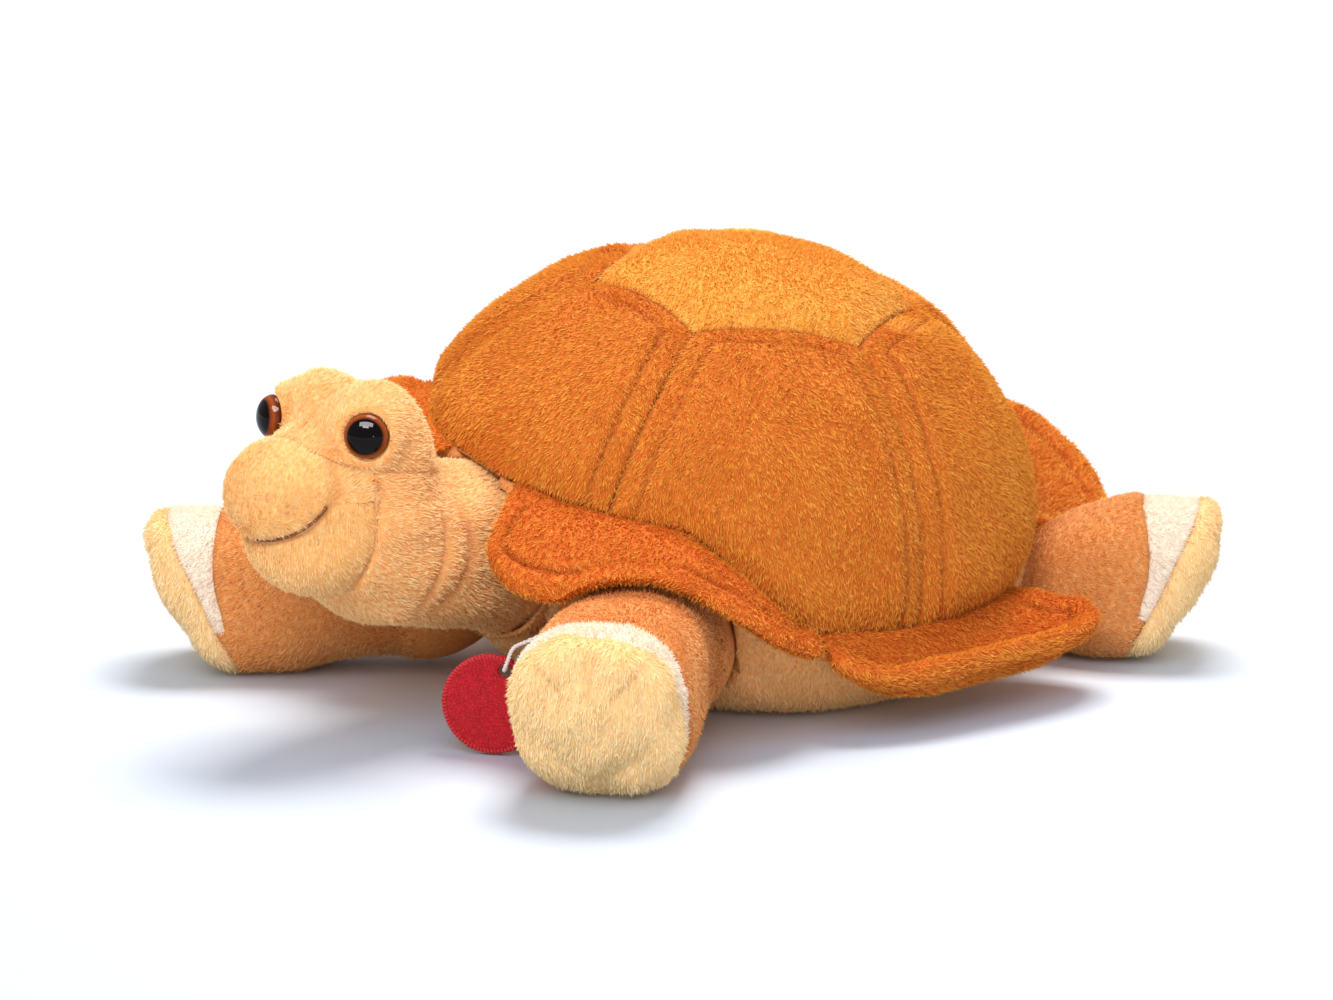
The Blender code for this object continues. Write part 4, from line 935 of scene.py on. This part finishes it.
def makeLegs():
    angles = around(leg["steps"])
    toes = sum(bell((angles - radians(toe) + pi) % (2.0 * pi), pi, leg["toeWidth"]) for toe in leg["toes"])
    for index, one in enumerate(legs):
        words, body = joinedWords(one["name"]), "leg_" + one["name"]
        trim = 0.00002 / one["length"]
        forward = placeIn(one, np.array([1.0, 0.0, 0.0])) - one["root"]
        rows = np.concatenate([np.linspace(-0.96, 0.0, 14)[:-1], np.linspace(0.0, 1.0, 40)])[:, None]
        end = 1.0 - toeEdge(angles, one["length"]) - trim
        grid = legPoint(one, np.where(rows < 0.0, rows, rows * end[None]), angles)
        hidden = smoothStep(0.0, 0.004, one["ball"] * 0.2 - legRing(one, rows)[0])
        makePanel("legSleeve" + words, body, [body + "_sleeve", body + "_stuffing"], grid, tanLook, bodyPile,
                  forward, 61 + index, ring=True, startPole=legPoint(one, -1.0, 0.0), tucked=("end",),
                  lumps=(0.0005, 0.026), bare=bareWhere(np.tile(hidden, (1, len(angles))), 1.0), tuck=0.5)

        reach = radians(leg["patchTurn"] - 0.2)
        across = np.linspace(-reach, reach, 100)
        place = 1.0 - toeEdge(across, one["length"])[None] * (1.0 - np.linspace(0.0, 1.0, 14)[:, None])
        makePanel("toePatch" + words, body, [body + "_toe_patch"], legPoint(one, place, across), paleLook,
                  solePile, forward, 71 + index, tucked=allSides, tuck=0.5)

        outer = legPoint(one, np.linspace(1.0 + trim, 2.0, 16)[:, None], angles)
        middle = placeIn(one, np.array([one["length"] + leg["crown"], 0.0,
                                        leg["footHalfHeight"] - leg["footSink"] - one["root"][2]]))
        rim = outer[-1]
        face = [rim + (middle - rim) * step + forward * leg["crown"] * 0.9 * step * (1.0 - step)
                for step in np.linspace(0.0, 1.0, 22)[1:-1]]
        grid = np.concatenate([outer, np.array(face)])
        down = np.linspace(0.0, 1.0, len(grid))[:, None]
        # The folds between the toes are pressed in and darkened as painted shade
        folds = toes[None] * between(0.08, 0.30, 0.50, 0.82, down)
        makePanel("sole" + words, body, [body + "_sole"], grid, soleLook, solePile, (0.0, 0.0, -1.0),
                  81 + index, ring=True, endPole=middle, tucked=("start",), lumps=(0.0006, 0.014),
                  groove=folds * 0.5, tuck=0.5)


# head

heart = np.array([0.0, -0.0413, 0.0205])
headForms = {
    # half sizes and place from the heart of the head
    "skull": ((0.0225, 0.0185, 0.0170), (0.0, -0.0050, 0.0125)),
    "cheek": ((0.0240, 0.0215, 0.0225), (0.0, -0.0060, -0.0030)),
    "brow": ((0.0106, 0.0120, 0.0120), (0.0118, -0.0072, 0.0208)),
    "snout": ((0.0175, 0.0170, 0.0152), (0.0, -0.0245, 0.0040)),
    "chin": ((0.0175, 0.0160, 0.0135), (0.0, -0.0195, -0.0090)),
}
head = {
    "blend": 0.0060, "reach": 0.0900, "muzzleTurn": 57.0, "roundLift": -5.0, "roundDrop": 52.0,
    "crownFront": 27.0, "crownBack": 20.0, "crownArch": 8.0, "throatLift": -48.0, "mouthReach": 33.0,
    "cornerLift": 9.0, "ballTurn": 35.0, "ballLift": 14.0, "ballRise": 24.0, "ballSwell": 0.0007,
    "foldDepth": 0.0010, "muzzleSwell": 0.0010, "muzzleFold": 0.0007, "socketRim": 0.0007,
    "socketReach": 0.0050, "socketSink": 0.0003, "seamGap": -0.00008, "pileEnd": (-0.0790, -0.0740),
    # where the fold beside the snout's ball lies, its width, and the lifts between which it fades
    "foldAt": 1.03, "foldWidth": 0.075, "foldFade": (22.0, 38.0), "ballRim": (0.55, 1.02),
    "muzzleRim": (0.72, 1.0), "muzzleFoldWidth": 0.05, "muzzleFade": (12.0, 27.0),
    # the turn and width of each crease of the throat, and the lifts between which they show
    "creases": ((104.0, 3.0), (122.0, 3.5)), "creaseBand": (-1.25, -0.95, -0.35, 0.05),
}


def eggDistance(points, form):
    half, place = np.array(headForms[form][0]), np.array(headForms[form][1])
    local = points - (heart + place)
    scaled = np.linalg.norm(local / half, axis=-1)
    steep = np.linalg.norm(local / half ** 2, axis=-1)
    return scaled * (scaled - 1.0) / np.maximum(steep, 1e-6)


def blendDistance(one, other, width):
    share = np.maximum(width - np.abs(one - other), 0.0) / width
    return np.minimum(one, other) - share * share * width / 4.0


def headDistance(points):
    left = points.copy()
    left[..., 0] = np.abs(left[..., 0])
    distance = eggDistance(points, "skull")
    distance = blendDistance(distance, eggDistance(points, "cheek"), head["blend"])
    distance = blendDistance(distance, eggDistance(left, "brow"), head["blend"])
    muzzle = blendDistance(eggDistance(points, "snout"), eggDistance(points, "chin"), head["blend"] / 2.0)
    distance = blendDistance(distance, muzzle, head["blend"])
    end = np.array(neck["end"])
    share = np.clip(points @ end / (end @ end), 0.0, 1.0)
    tube = np.linalg.norm(points - end * share[..., None], axis=-1) - neck["ball"]
    tube += (neck["ball"] - neck["tube"]) * np.minimum(share * 4.0, 1.0)
    return blendDistance(distance, tube, head["blend"])


def headSkin(lift, turn):
    # The skin in the row's frame, along directions from the heart of the head
    lift, turn = np.broadcast_arrays(np.asarray(lift, float), np.asarray(turn, float))
    way = wayOf(turn, lift)
    out = np.full(lift.shape, head["reach"])
    for step in range(60):
        out = np.maximum(out - headDistance(heart + way * out[..., None]), 0.0)
    return heart + way * out[..., None] + np.array(neck["pivot"])


eye = {"radius": 0.0060, "dome": 0.0044, "post": 0.0013, "postLength": 0.0075, "turn": 47.0, "lift": 38.0,
       "down": -0.0006,
       # the left one, then the right one, which is sewn nearer the front
       "inward": (0.0030, 0.0045), "back": (0.0052, 0.0030), "forward": (0.18, 0.75),
       "stand": (0.0006, 0.0012), "probe": 0.0030, "bare": (0.0052, 0.0058)}


def eyeFrame(side):
    # The flat back of an eye, pressed into the skin; the right one is turned more to the front, as sewn
    pivot, own = np.array(neck["pivot"]), 0 if side > 0.0 else 1
    middle = headSkin(radians(eye["lift"]), side * radians(eye["turn"])) - pivot
    middle = middle + np.array([-side * eye["inward"][own], eye["back"][own], -eye["down"]])
    slope = [headDistance(middle + probe) - headDistance(middle - probe)
             for probe in np.eye(3) * eye["probe"]]
    axis = Vector([float(value) for value in slope]).normalized()
    middle = Vector(middle) - axis * float(headDistance(middle))
    axis = (axis + Vector((0.0, -eye["forward"][own], 0.0))).normalized()
    middle = middle + axis * eye["stand"][own]
    turned = axis.to_track_quat("Z", "Y").to_matrix().to_4x4()
    return Matrix.Translation(pivot) @ Matrix.Translation(middle) @ turned


eyePlaces = {side: eyeFrame(side) for side in (1.0, -1.0)}


def crownLow(turn):
    front, back = radians(head["crownFront"]), radians(head["crownBack"])
    arch = radians(head["crownArch"]) * (1.0 - smoothStep(0.0, radians(50.0), sideOf(turn)))
    return front + (back - front) * smoothStep(0.0, pi, sideOf(turn)) + arch


def muzzleEdge(lift):
    # The round edge of the muzzle: upright at the cheek and curving in under the chin
    below = np.minimum(lift - radians(head["roundLift"]), 0.0) / radians(head["roundDrop"])
    return radians(head["muzzleTurn"]) * np.sqrt(np.maximum(1.0 - below ** 2, 0.0))


def throatHigh(turn):
    side, muzzle = sideOf(turn), radians(head["muzzleTurn"])
    share = np.minimum(side / muzzle, 1.0)
    under = radians(head["roundLift"]) - radians(head["roundDrop"]) * np.sqrt(1.0 - share ** 2)
    return np.where(side >= muzzle, crownLow(turn), np.maximum(under, radians(head["throatLift"])))


def mouthLine(turn):
    side = np.degrees(np.abs(turn))
    share = np.minimum(side, head["mouthReach"]) / head["ballTurn"]
    low = head["ballLift"] - head["ballRise"] * np.sqrt(1.0 - share ** 2)
    corner = head["ballLift"] - head["ballRise"] * sqrt(1.0 - (head["mouthReach"] / head["ballTurn"]) ** 2)
    beyond = np.maximum(side - head["mouthReach"], 0.0) / (head["muzzleTurn"] - head["mouthReach"])
    return np.radians(low + (head["cornerLift"] - corner) * beyond)


def dressHead(points):
    # Over the plain skin: the round ball of the snout, the fold beside it and the sockets of the eyes
    offset = points - heart - np.array(neck["pivot"])
    way = unit(offset)
    turn, lift = np.degrees(np.arctan2(way[..., 0], -way[..., 1])), np.degrees(np.arcsin(way[..., 2]))
    ball = np.hypot(turn / head["ballTurn"], (lift - head["ballLift"]) / head["ballRise"])
    fold = bell(ball, head["foldAt"], head["foldWidth"]) * (1.0 - smoothStep(*head["foldFade"], lift))
    step = head["ballSwell"] * (1.0 - smoothStep(*head["ballRim"], ball)) - head["foldDepth"] * fold
    below = np.minimum(lift - head["roundLift"], 0.0) / head["roundDrop"]
    muzzle = np.hypot(turn / head["muzzleTurn"], below)
    puff = head["muzzleSwell"] * (1.0 - smoothStep(*head["muzzleRim"], muzzle))
    puff -= head["muzzleFold"] * bell(muzzle, 1.0, head["muzzleFoldWidth"])
    step += puff * (1.0 - smoothStep(*head["muzzleFade"], lift))
    shaped = points + way * step[..., None]
    for place in eyePlaces.values():
        frame = np.array(place)
        local = (shaped - frame[:3, 3]) @ frame[:3, :3]
        out = np.hypot(local[..., 0], local[..., 1])
        raised = smoothStep(eye["radius"] - 0.0005, eye["radius"] + 0.0008, out)
        target = head["socketRim"] * raised - head["socketSink"]
        share = 1.0 - smoothStep(eye["radius"] + 0.0006, eye["radius"] + head["socketReach"], out)
        share = np.where(np.abs(local[..., 2]) < 0.0090, share, 0.0)
        shaped = shaped + ((target - local[..., 2]) * share)[..., None] * frame[:3, 2]
    return shaped, fold


def makeHead():
    seamTurn, seamLift = head["seamGap"] / 0.0175, head["seamGap"] / 0.0152
    shares = np.linspace(0.0, 1.0, 44)[:-1, None]
    turns = np.linspace(0.0, pi, 96)
    low = crownLow(turns) + seamLift
    left = dressHead(headSkin(low[None] + (pi / 2.0 - low)[None] * shares, turns))[0]
    left[..., 0] = np.maximum(left[..., 0], -0.00006)
    pole = headSkin(pi / 2.0, 0.0)
    for side, hand, seed in ((1.0, "Left", 91), (-1.0, "Right", 92)):
        nodes = ["head_crown_" + hand.lower()] + (["head_stuffing"] if side > 0 else [])
        makePanel("headCrown" + hand, "head", nodes, left * np.array([side, 1.0, 1.0]), peachLook, headPile,
                  (0.0, 1.0, -0.2), seed, endPole=pole + np.array([side * 0.00002, 0.0, 0.0]),
                  tucked=("start", "left", "right"), lumps=(0.0003, 0.014), bare=eyeBare, tuck=0.30)

    corner, throat = radians(head["muzzleTurn"]), radians(head["throatLift"])
    mouthEnd, top = mouthLine(corner), crownLow(corner)
    across = np.linspace(-1.0, 1.0, 72)
    for name, rows, first, last, seed, bare in (("Snout", 40, mouthEnd, top, 93, eyeBare),
                                                ("Chin", 36, throat, mouthEnd, 94, None)):
        shares = np.linspace(0.0, 1.0, rows)[:, None]
        turn = across[None] * (muzzleEdge(first + (last - first) * shares) - seamTurn)
        if name == "Snout":
            lowest, highest, nap, sewn = mouthLine(turn) + seamLift, crownLow(turn) - seamLift, 0.8, "end"
        else:
            lowest, highest = throat + seamLift, mouthLine(across * corner)[None] - seamLift
            nap, sewn = -0.8, "start"
        grid, fold = dressHead(headSkin(lowest + (highest - lowest) * shares, turn))
        # The fold beside the snout's ball is darkened as painted shade in its crease
        makePanel("head" + name, "head", ["head_" + name.lower()], grid, creamLook, headPile,
                  (0.0, 0.4, nap), seed, tucked=(sewn, "left", "right"), lumps=(0.0003, 0.012),
                  bare=bare, tuck=0.55, foldShade=fold * 0.5)

    # two more columns at each side of the muzzle, where the throat's edge turns sharply
    turns = np.append(around(150), [
        corner - 0.002, corner + 0.0001, 2.0 * pi - corner - 0.0001, 2.0 * pi - corner + 0.002])
    turns = np.sort(turns)
    high = throatHigh(turns) - seamLift
    lift = -pi / 2.0 + (high + pi / 2.0)[None] * np.linspace(0.02, 1.0, 64)[:, None]
    grid = dressHead(headSkin(lift, turns))[0]
    side = np.degrees(sideOf(turns))[None] + 4.0 * np.sin(lift * 5.0)
    # The throat's creases are pressed in and darkened as painted shade
    creases = between(*head["creaseBand"], lift) * sum(bell(side, *crease) for crease in head["creases"])
    hidden = smoothStep(*head["pileEnd"], grid[..., 1])
    makePanel("headThroat", "head", ["head_throat"], grid, peachLook, headPile, (0.0, 1.0, -0.3), 95,
              ring=True, startPole=headSkin(-pi / 2.0, 0.0), tucked=("end",), lumps=(0.0005, 0.018),
              groove=creases * 0.8, bare=bareWhere(hidden, 0.0), tuck=0.5)


# eyes, mouth and collar

def eyeBare(points):
    covered = np.zeros(len(points))
    for place in eyePlaces.values():
        offset = points - np.array(place.translation)
        covered = np.maximum(covered, 1.0 - smoothStep(*eye["bare"], np.linalg.norm(offset, axis=1)))
    return covered


def addSolid(name, points, faces, material):
    mesh = meshFrom(name, points, faces)
    mesh.shade_smooth()
    return addObject(name, mesh, material)


def turnedPoints(place, profile, count):
    # The profile's radii and heights, turned about the place's Z axis
    return [place @ Vector((radius * cos(angle), radius * sin(angle), height))
            for radius, height in profile for angle in around(count)]


def makeEyes():
    material, board, shader = newMaterial("eyeGloss", 0.03)
    shader.inputs["Specular IOR Level"].default_value = 0.15
    black = (0.002, 0.001, 0.001)
    stops = ((0.0, black), (0.76, black), (0.81, tone(112, 44, 12)), (0.92, tone(150, 72, 26)),
             (1.0, tone(74, 28, 10)))
    ramp = board.node("ShaderNodeValToRGB", {"stops": stops}, {0: board.attribute("radial") / eye["radius"]})
    board.feed(shader.inputs["Base Color"], ramp)
    swings = np.linspace(0.0, pi / 2.0, 30)
    rings = [(eye["post"], -eye["postLength"]), (eye["post"], -0.0004), (eye["radius"] - 0.0004, -0.0004),
             (eye["radius"] - 0.0001, -0.0002)]
    rings += [(eye["radius"] * cos(swing), eye["dome"] * sin(swing)) for swing in swings]
    poles = [(0.0, -eye["postLength"]), (0.0, eye["dome"])]
    count = 64
    made = []
    for side, hand in ((1.0, "Left"), (-1.0, "Right")):
        points = turnedPoints(eyePlaces[side], rings[:-1], count) + turnedPoints(eyePlaces[side], poles, 1)
        item = addSolid("eye" + hand, points, gridFaces(len(rings) - 1, count, True, True, True), material)
        radii = np.repeat([radius for radius, height in rings[:-1]], count)
        store(item.data, "radial", np.append(radii, [0.0, 0.0]))
        fit(item, "head", "eye_black", "eye_" + hand.lower())
        made.append(item)
    return made


def alongRoute(route):
    # Each point of a line with the two directions across it, which turn as little as they can
    across = None
    for index, place in enumerate(route):
        ahead = (route[min(index + 1, len(route) - 1)] - route[max(index - 1, 0)]).normalized()
        across = ahead.orthogonal() if across is None else across
        across = (across - ahead * across.dot(ahead)).normalized()
        yield place, across, ahead.cross(across)


def tubeParts(route, radius, sides):
    points = [place + (across * cos(angle) + up * sin(angle)) * radius
              for place, across, up in alongRoute(route) for angle in around(sides)]
    return points + [route[0], route[-1]], gridFaces(len(route), sides, True, True, True)


mouth = {"thread": 0.00045, "rise": 0.0002, "endRise": 0.0006, "steps": 60}


def makeMouth():
    material = threadMaterial("mouthThread", 0.7, 0.0, (1500.0, 2.0, 0.6), (104, 44, 18), (150, 78, 40))
    turns = np.linspace(-radians(head["mouthReach"]), radians(head["mouthReach"]), mouth["steps"])
    skin = dressHead(headSkin(mouthLine(turns), turns))[0]
    out = mouth["rise"] + mouth["endRise"] * smoothStep(0.15, 0.4, np.abs(turns))
    centre = Vector(heart) + Vector(neck["pivot"])
    route = [Vector(point) + (Vector(point) - centre).normalized() * float(rise)
             for point, rise in zip(skin, out)]
    item = addSolid("mouthStitch", *tubeParts(route, mouth["thread"], 8), material)
    fit(item, "head", "mouth_thread", "mouth_stitch")


def makeCollar():
    # The strip of cloth round the root of the neck, inside the body
    axis = Vector(neck["end"]).to_track_quat("Z", "Y").to_matrix().to_4x4()
    place = Matrix.Translation(neck["pivot"]) @ axis
    outer, inner = neck["collar"], neck["collar"] - 0.0012
    shares = np.linspace(-0.78, -0.10, 14)
    profile = [(outer * sqrt(1.0 - share ** 2), outer * share) for share in shares]
    profile += [(inner * sqrt(1.0 - share ** 2), inner * share) for share in shares[::-1]]
    count = 64
    rows = len(profile)
    item = addSolid("neckCollar", turnedPoints(place, profile, count), roundFaces(rows, count), peachLook[0])
    places = np.array([(step / count, row / rows) for row in range(rows) for step in range(count)])
    # pile on the outside of the strip and over its two edges
    number = np.arange(len(item.data.polygons))
    cover = np.where((number < len(shares) * count) | (number >= (rows - 1) * count), 1.0, 0.0)
    dressMesh(item, bodyPile, peachLook[0], 96, (0.0, -0.6, 0.2), cover, places)
    fit(item, "neck", peachLook[1], "neck_collar")


# felt tag on its cord

tag = {"radius": 0.0135, "thickness": 0.0018, "hole": 0.0020, "holeMargin": 0.0016, "groundGap": 0.0004,
       "along": 0.0280, "beside": 0.0364, "holeTurn": 22.0, "seamAngle": 72.0, "seamRise": 7.0,
       "seamShare": 0.36, "cordRadius": 0.0006, "rise": 0.0062, "pass": 0.0034, "seatGap": 0.0003,
       "stitches": 84, "twist": 0.0021}


def stitchTree():
    # Short slanted threads laid round a circle, at right angles to it
    tree, board, given = startTree("edgeStitches", (
        ("Count", "Int"), ("Circle Radius", "Float"), ("Thread Radius", "Float"), ("Thread Length", "Float"),
        ("Slant", "Float"), ("Seed", "Int"), ("Thread", "Material")))
    circle = board.geometry("MeshCircle", {"Vertices": given["Count"], "Radius": given["Circle Radius"]})
    outward = board.node("FunctionNodeAlignRotationToVector", {"axis": "X"},
                         {"Vector": board.geometry("InputPosition", None)})
    thread = board.geometry("MeshUVSphere", {"Segments": 8, "Rings": 6, "Radius": 1.0})
    size = board.node("ShaderNodeCombineXYZ", None,
                      {0: given["Thread Length"], 1: given["Thread Radius"], 2: given["Thread Radius"]})
    threads = board.geometry("InstanceOnPoints", {"Points": circle, "Instance": thread, "Rotation": outward,
                                                  "Scale": size})
    slant = board.node("ShaderNodeCombineXYZ", None,
                       {2: given["Slant"] + board.chance(-0.12, 0.12, given["Seed"])})
    threads = board.geometry("RotateInstances", {"Instances": threads, "Rotation": slant})
    threads = board.geometry("RealizeInstances", {"Geometry": threads})
    return paintedOut(tree, board, threads, given["Thread"])


felt = {"dark": (158, 0, 14), "pale": (240, 16, 42), "speck": (244, 128, 134), "fibreScale": 1900.0,
        "cloudScale": 300.0, "speckScale": 5200.0, "specksFrom": 0.62}


def feltMaterial():
    material, board, shader = newMaterial("redFelt", 0.9, 0.12, (1.0, 0.45, 0.45))
    fibres = board.noise(felt["fibreScale"], 3.0, 0.65)
    clouds = board.noise(felt["cloudScale"], 2.0, 0.5)
    specks = board.noise(felt["speckScale"], 1.0, 0.5)
    lift = (fibres - 0.5) * 2.2 + clouds * 0.5 + board.attribute("shade") * 0.5
    colour = board.mix(lift, tone(*felt["dark"]), tone(*felt["pale"]))
    colour = board.mix((specks - felt["specksFrom"]) * 4.0, colour, tone(*felt["speck"]))
    board.feed(shader.inputs["Base Color"], colour)
    bumped(board, shader, 0.6, 0.0003, fibres)
    return material


def splinePoint(route, share):
    place = share * (len(route) - 1)
    index = min(int(place), len(route) - 2)
    part = place - index
    before, here = route[max(index - 1, 0)], route[index]
    after, beyond = route[index + 1], route[min(index + 2, len(route) - 1)]
    bend = before * 2.0 - here * 5.0 + after * 4.0 - beyond
    twist = here * 3.0 - before - after * 3.0 + beyond
    return (here * 2.0 + (after - before) * part + bend * part ** 2 + twist * part ** 3) * 0.5


def tagPlaces():
    # Where the tag hangs: the frame of its hinge, and the way from the middle of the disc to its hole
    one = legs[0]
    turn = one["heading"] + pi / 2.0
    face, beside = Vector((sin(turn), -cos(turn), 0.0)), Vector((-cos(turn), -sin(turn), 0.0))
    slack = tag["hole"] - tag["cordRadius"] - tag["seatGap"]
    arm = tag["radius"] - tag["holeMargin"] - tag["hole"] + slack
    holeTurn = radians(tag["holeTurn"])
    toHole = Vector((0.0, 0.0, cos(holeTurn))) - beside * sin(holeTurn)
    middle = Vector(one["root"]) + face * tag["along"] + beside * tag["beside"]
    middle.z = tag["groundGap"] + tag["radius"]
    hang = middle + toHole * arm
    way = Vector((sin(holeTurn), 0.0, cos(holeTurn)))
    return {"face": face, "beside": beside, "toHole": toHole, "hang": hang, "drop": way * -arm,
            "holeMiddle": way * -slack, "hinge": Matrix.Translation(hang) @ Matrix.Rotation(turn, 4, "Z")}


def makeDisc(places):
    # The disc with a hole through it: two faces joined round the rim and round the hole
    material = feltMaterial()
    hinge, drop, holeMiddle = places["hinge"], places["drop"], places["holeMiddle"]
    count, half = 96, tag["thickness"] / 2.0
    rounding = half * 0.7
    # for each ring its radius if it is on the rim, its height, and how far from the hole to the rim it is
    rings = [(tag["radius"] - rounding + rounding * cos(swing), half * sin(swing), 1.0)
             for swing in np.linspace(-pi / 2.0, pi / 2.0, 9)]
    shares = (0.86, 0.7, 0.5, 0.3, 0.15, 0.0)
    rings += [(None, half, share) for share in shares]
    rings += [(None, half * 0.4, -1.0), (None, -half * 0.4, -1.0)]
    rings += [(None, -half, share) for share in reversed(shares)]
    points = []
    for radius, height, share in rings:
        for angle in around(count):
            rim = drop + Vector((sin(angle), 0.0, cos(angle))) * (radius or tag["radius"] - rounding)
            edge = tag["hole"] if share >= 0.0 else tag["hole"] * 0.94
            edge = holeMiddle + (rim - holeMiddle).normalized() * edge
            spot = rim if radius else edge.lerp(rim, max(share, 0.0))
            ripple = 0.00006 * sin(spot.x * 2100.0) * sin(spot.z * 2300.0 + height * 900.0)
            outward = ripple if height > 0.0 else -ripple
            points.append(hinge @ (spot + Vector((0.0, height + outward, 0.0))))
    item = addSolid("tagDisc", points, roundFaces(len(rings), count), material)
    mesh = item.data
    if mesh.polygons[0].normal.dot(mesh.polygons[0].center - hinge @ drop) < 0.0:
        mesh.flip_normals()
    flat = np.array([hinge.inverted() @ vertex.co for vertex in mesh.vertices])
    spread = flat[:, [0, 2]] / (4.0 * tag["radius"]) + 0.5
    dressMesh(item, feltPile, material, 71, (0.1, 0.1, -0.3), [1.0] * len(mesh.polygons), spread)
    fit(item, "tag", "tag_red", "tag_disc")


def makeRimStitches(places):
    # The thread sewn over the rim, one ring of stitches on each face
    thread = threadMaterial("rimThread", 0.65, 0.2, (1800.0,), (168, 12, 24), (226, 52, 62))
    item = addObject("tagRimStitches", meshFrom("tagRimStitches", [(0.0, 0.0, 0.0)], []), thread)
    runTree(item, stitchTree(), {
        "Count": tag["stitches"], "Circle Radius": tag["radius"] - 0.0006, "Thread Radius": 0.00030,
        "Thread Length": 0.00075, "Slant": 0.35, "Seed": 5, "Thread": thread})
    ring = item.data
    total = len(ring.vertices)
    spots, corners = [], []
    for index, side in enumerate((0.5, -0.5)):
        shift = Matrix.Translation(places["drop"] + Vector((0.0, side * tag["thickness"], 0.0)))
        place = places["hinge"] @ shift @ Matrix.Rotation(pi / 2.0, 4, "X")
        spots += [place @ vertex.co for vertex in ring.vertices]
        corners += [[corner + index * total for corner in polygon.vertices] for polygon in ring.polygons]
    bpy.data.objects.remove(item)
    fit(addSolid("tagRimStitches", spots, corners, thread), "tag", "tag_red")


def loopRoute(places):
    # The middle line of the cord: from the leg's seam through the hole and back
    face, hang, toHole = places["face"], places["hang"], places["toHole"]
    share, room = np.array(tag["seamShare"]), tag["cordRadius"] / 2.0 + tag["seatGap"]
    ends = []
    for angle in (tag["seamAngle"] + tag["seamRise"], tag["seamAngle"] - tag["seamRise"]):
        spot = legPoint(legs[0], share, np.array(-radians(angle)))
        ahead = legPoint(legs[0], share, np.array(-radians(angle + 1.0)))
        outward = face.cross(Vector(ahead - spot)).normalized()
        if outward.dot(places["beside"]) < 0.0:
            outward = -outward
        ends.append(Vector(spot) + outward * room)
    lowEnd, highEnd = ends
    reach, rise = face * tag["pass"], toHole * tag["rise"]
    over = hang + rise
    stations = [lowEnd, lowEnd.lerp(hang, 0.5) - reach * 0.5, hang - reach * 0.6, hang, hang + reach * 0.8,
                hang + reach + rise * 0.5, over + reach * 0.5, over.lerp(highEnd, 0.3), highEnd]
    return [splinePoint(stations, share) for share in np.linspace(0.0, 1.0, 150)]


def makeLoop(places):
    # Two strands twisted round each other along the middle line
    radius = tag["cordRadius"]
    middle = loopRoute(places)
    length = sum((there - here).length for here, there in zip(middle, middle[1:]))
    turning = np.arange(len(middle)) / (len(middle) - 1.0) * length / tag["twist"] * 2.0 * pi
    spots, corners = [], []
    for start in (0.0, pi):
        strand = [spot + (across * cos(swing + start) + up * sin(swing + start)) * radius * 0.46
                  for (spot, across, up), swing in zip(alongRoute(middle), turning)]
        points, faces = tubeParts(strand, radius * 0.54, 8)
        corners += [[corner + len(spots) for corner in face] for face in faces]
        spots += points
    thread = threadMaterial("whiteCord", 0.8, 0.2, (2200.0, 3.0, 0.6), (206, 198, 192), (250, 247, 243))
    fit(addSolid("tagLoop", spots, corners, thread), "leg_front_left", "tag_cord_white", "tag_loop")
    print("   tag loop", round(length * 1000.0, 1), "mm of cord")


def makeTag():
    places = tagPlaces()
    makeDisc(places)
    makeRimStitches(places)
    makeLoop(places)


# floor and light

def makeFloor():
    material, board, shader = newMaterial("floorPaper", 0.7)
    shader.inputs["Base Color"].default_value = (*studio["floorTone"], 1.0)
    spot = board.node("ShaderNodeTexCoord", None, None, 3)
    away = board.node("ShaderNodeVectorMath", {"operation": "LENGTH"}, {0: spot}, 1)
    glow = board.node("ShaderNodeMapRange", {"interpolation_type": "SMOOTHSTEP"},
                      {"Value": away, "From Min": studio["glowFrom"], "From Max": studio["glowTo"]})
    board.feed(shader.inputs["Emission Color"], board.mix(glow, (0.0, 0.0, 0.0), studio["glowTint"]))
    shader.inputs["Emission Strength"].default_value = studio["farGlow"]
    size = studio["floorSize"]
    corners = [(-size, -size, 0.0), (size, -size, 0.0), (size, size, 0.0), (-size, size, 0.0)]
    floor = addObject("floor", meshFrom("floor", corners, [(0, 1, 2, 3)]), material)
    return floor


def makeStudio():
    makeCamera()
    world = bpy.data.worlds.new("studio")
    bpy.context.scene.world = world
    world.use_nodes = True
    sky = world.node_tree.nodes["Background"]
    sky.inputs["Color"].default_value = (1.0, 1.0, 1.0, 1.0)
    sky.inputs["Strength"].default_value = studio["skyStrength"]
    bpy.context.scene.view_settings.view_transform = "Standard"
    floor = makeFloor()
    makeLight("topLight")
    makeLight("sparkLight")
    limitLight(makeLight("keyLight"), "notByKey", [floor], "EXCLUDE")
    limitLight(makeLight("floorFill"), "floorOnly", [floor], "INCLUDE")


# run

makeStudio()
print("stage ready")

makeShell()
print("shell done")
makeBrim()
print("brim done")
makeBelly()
makeLegs()
print("legs done")
makeHead()
eyes = makeEyes()
softbox = makeLight("eyeSoftbox")
softbox.visible_diffuse = False
limitLight(softbox, "eyesOnly", eyes, "INCLUDE")
makeMouth()
makeCollar()
print("head done")
makeTag()
print("tag done")
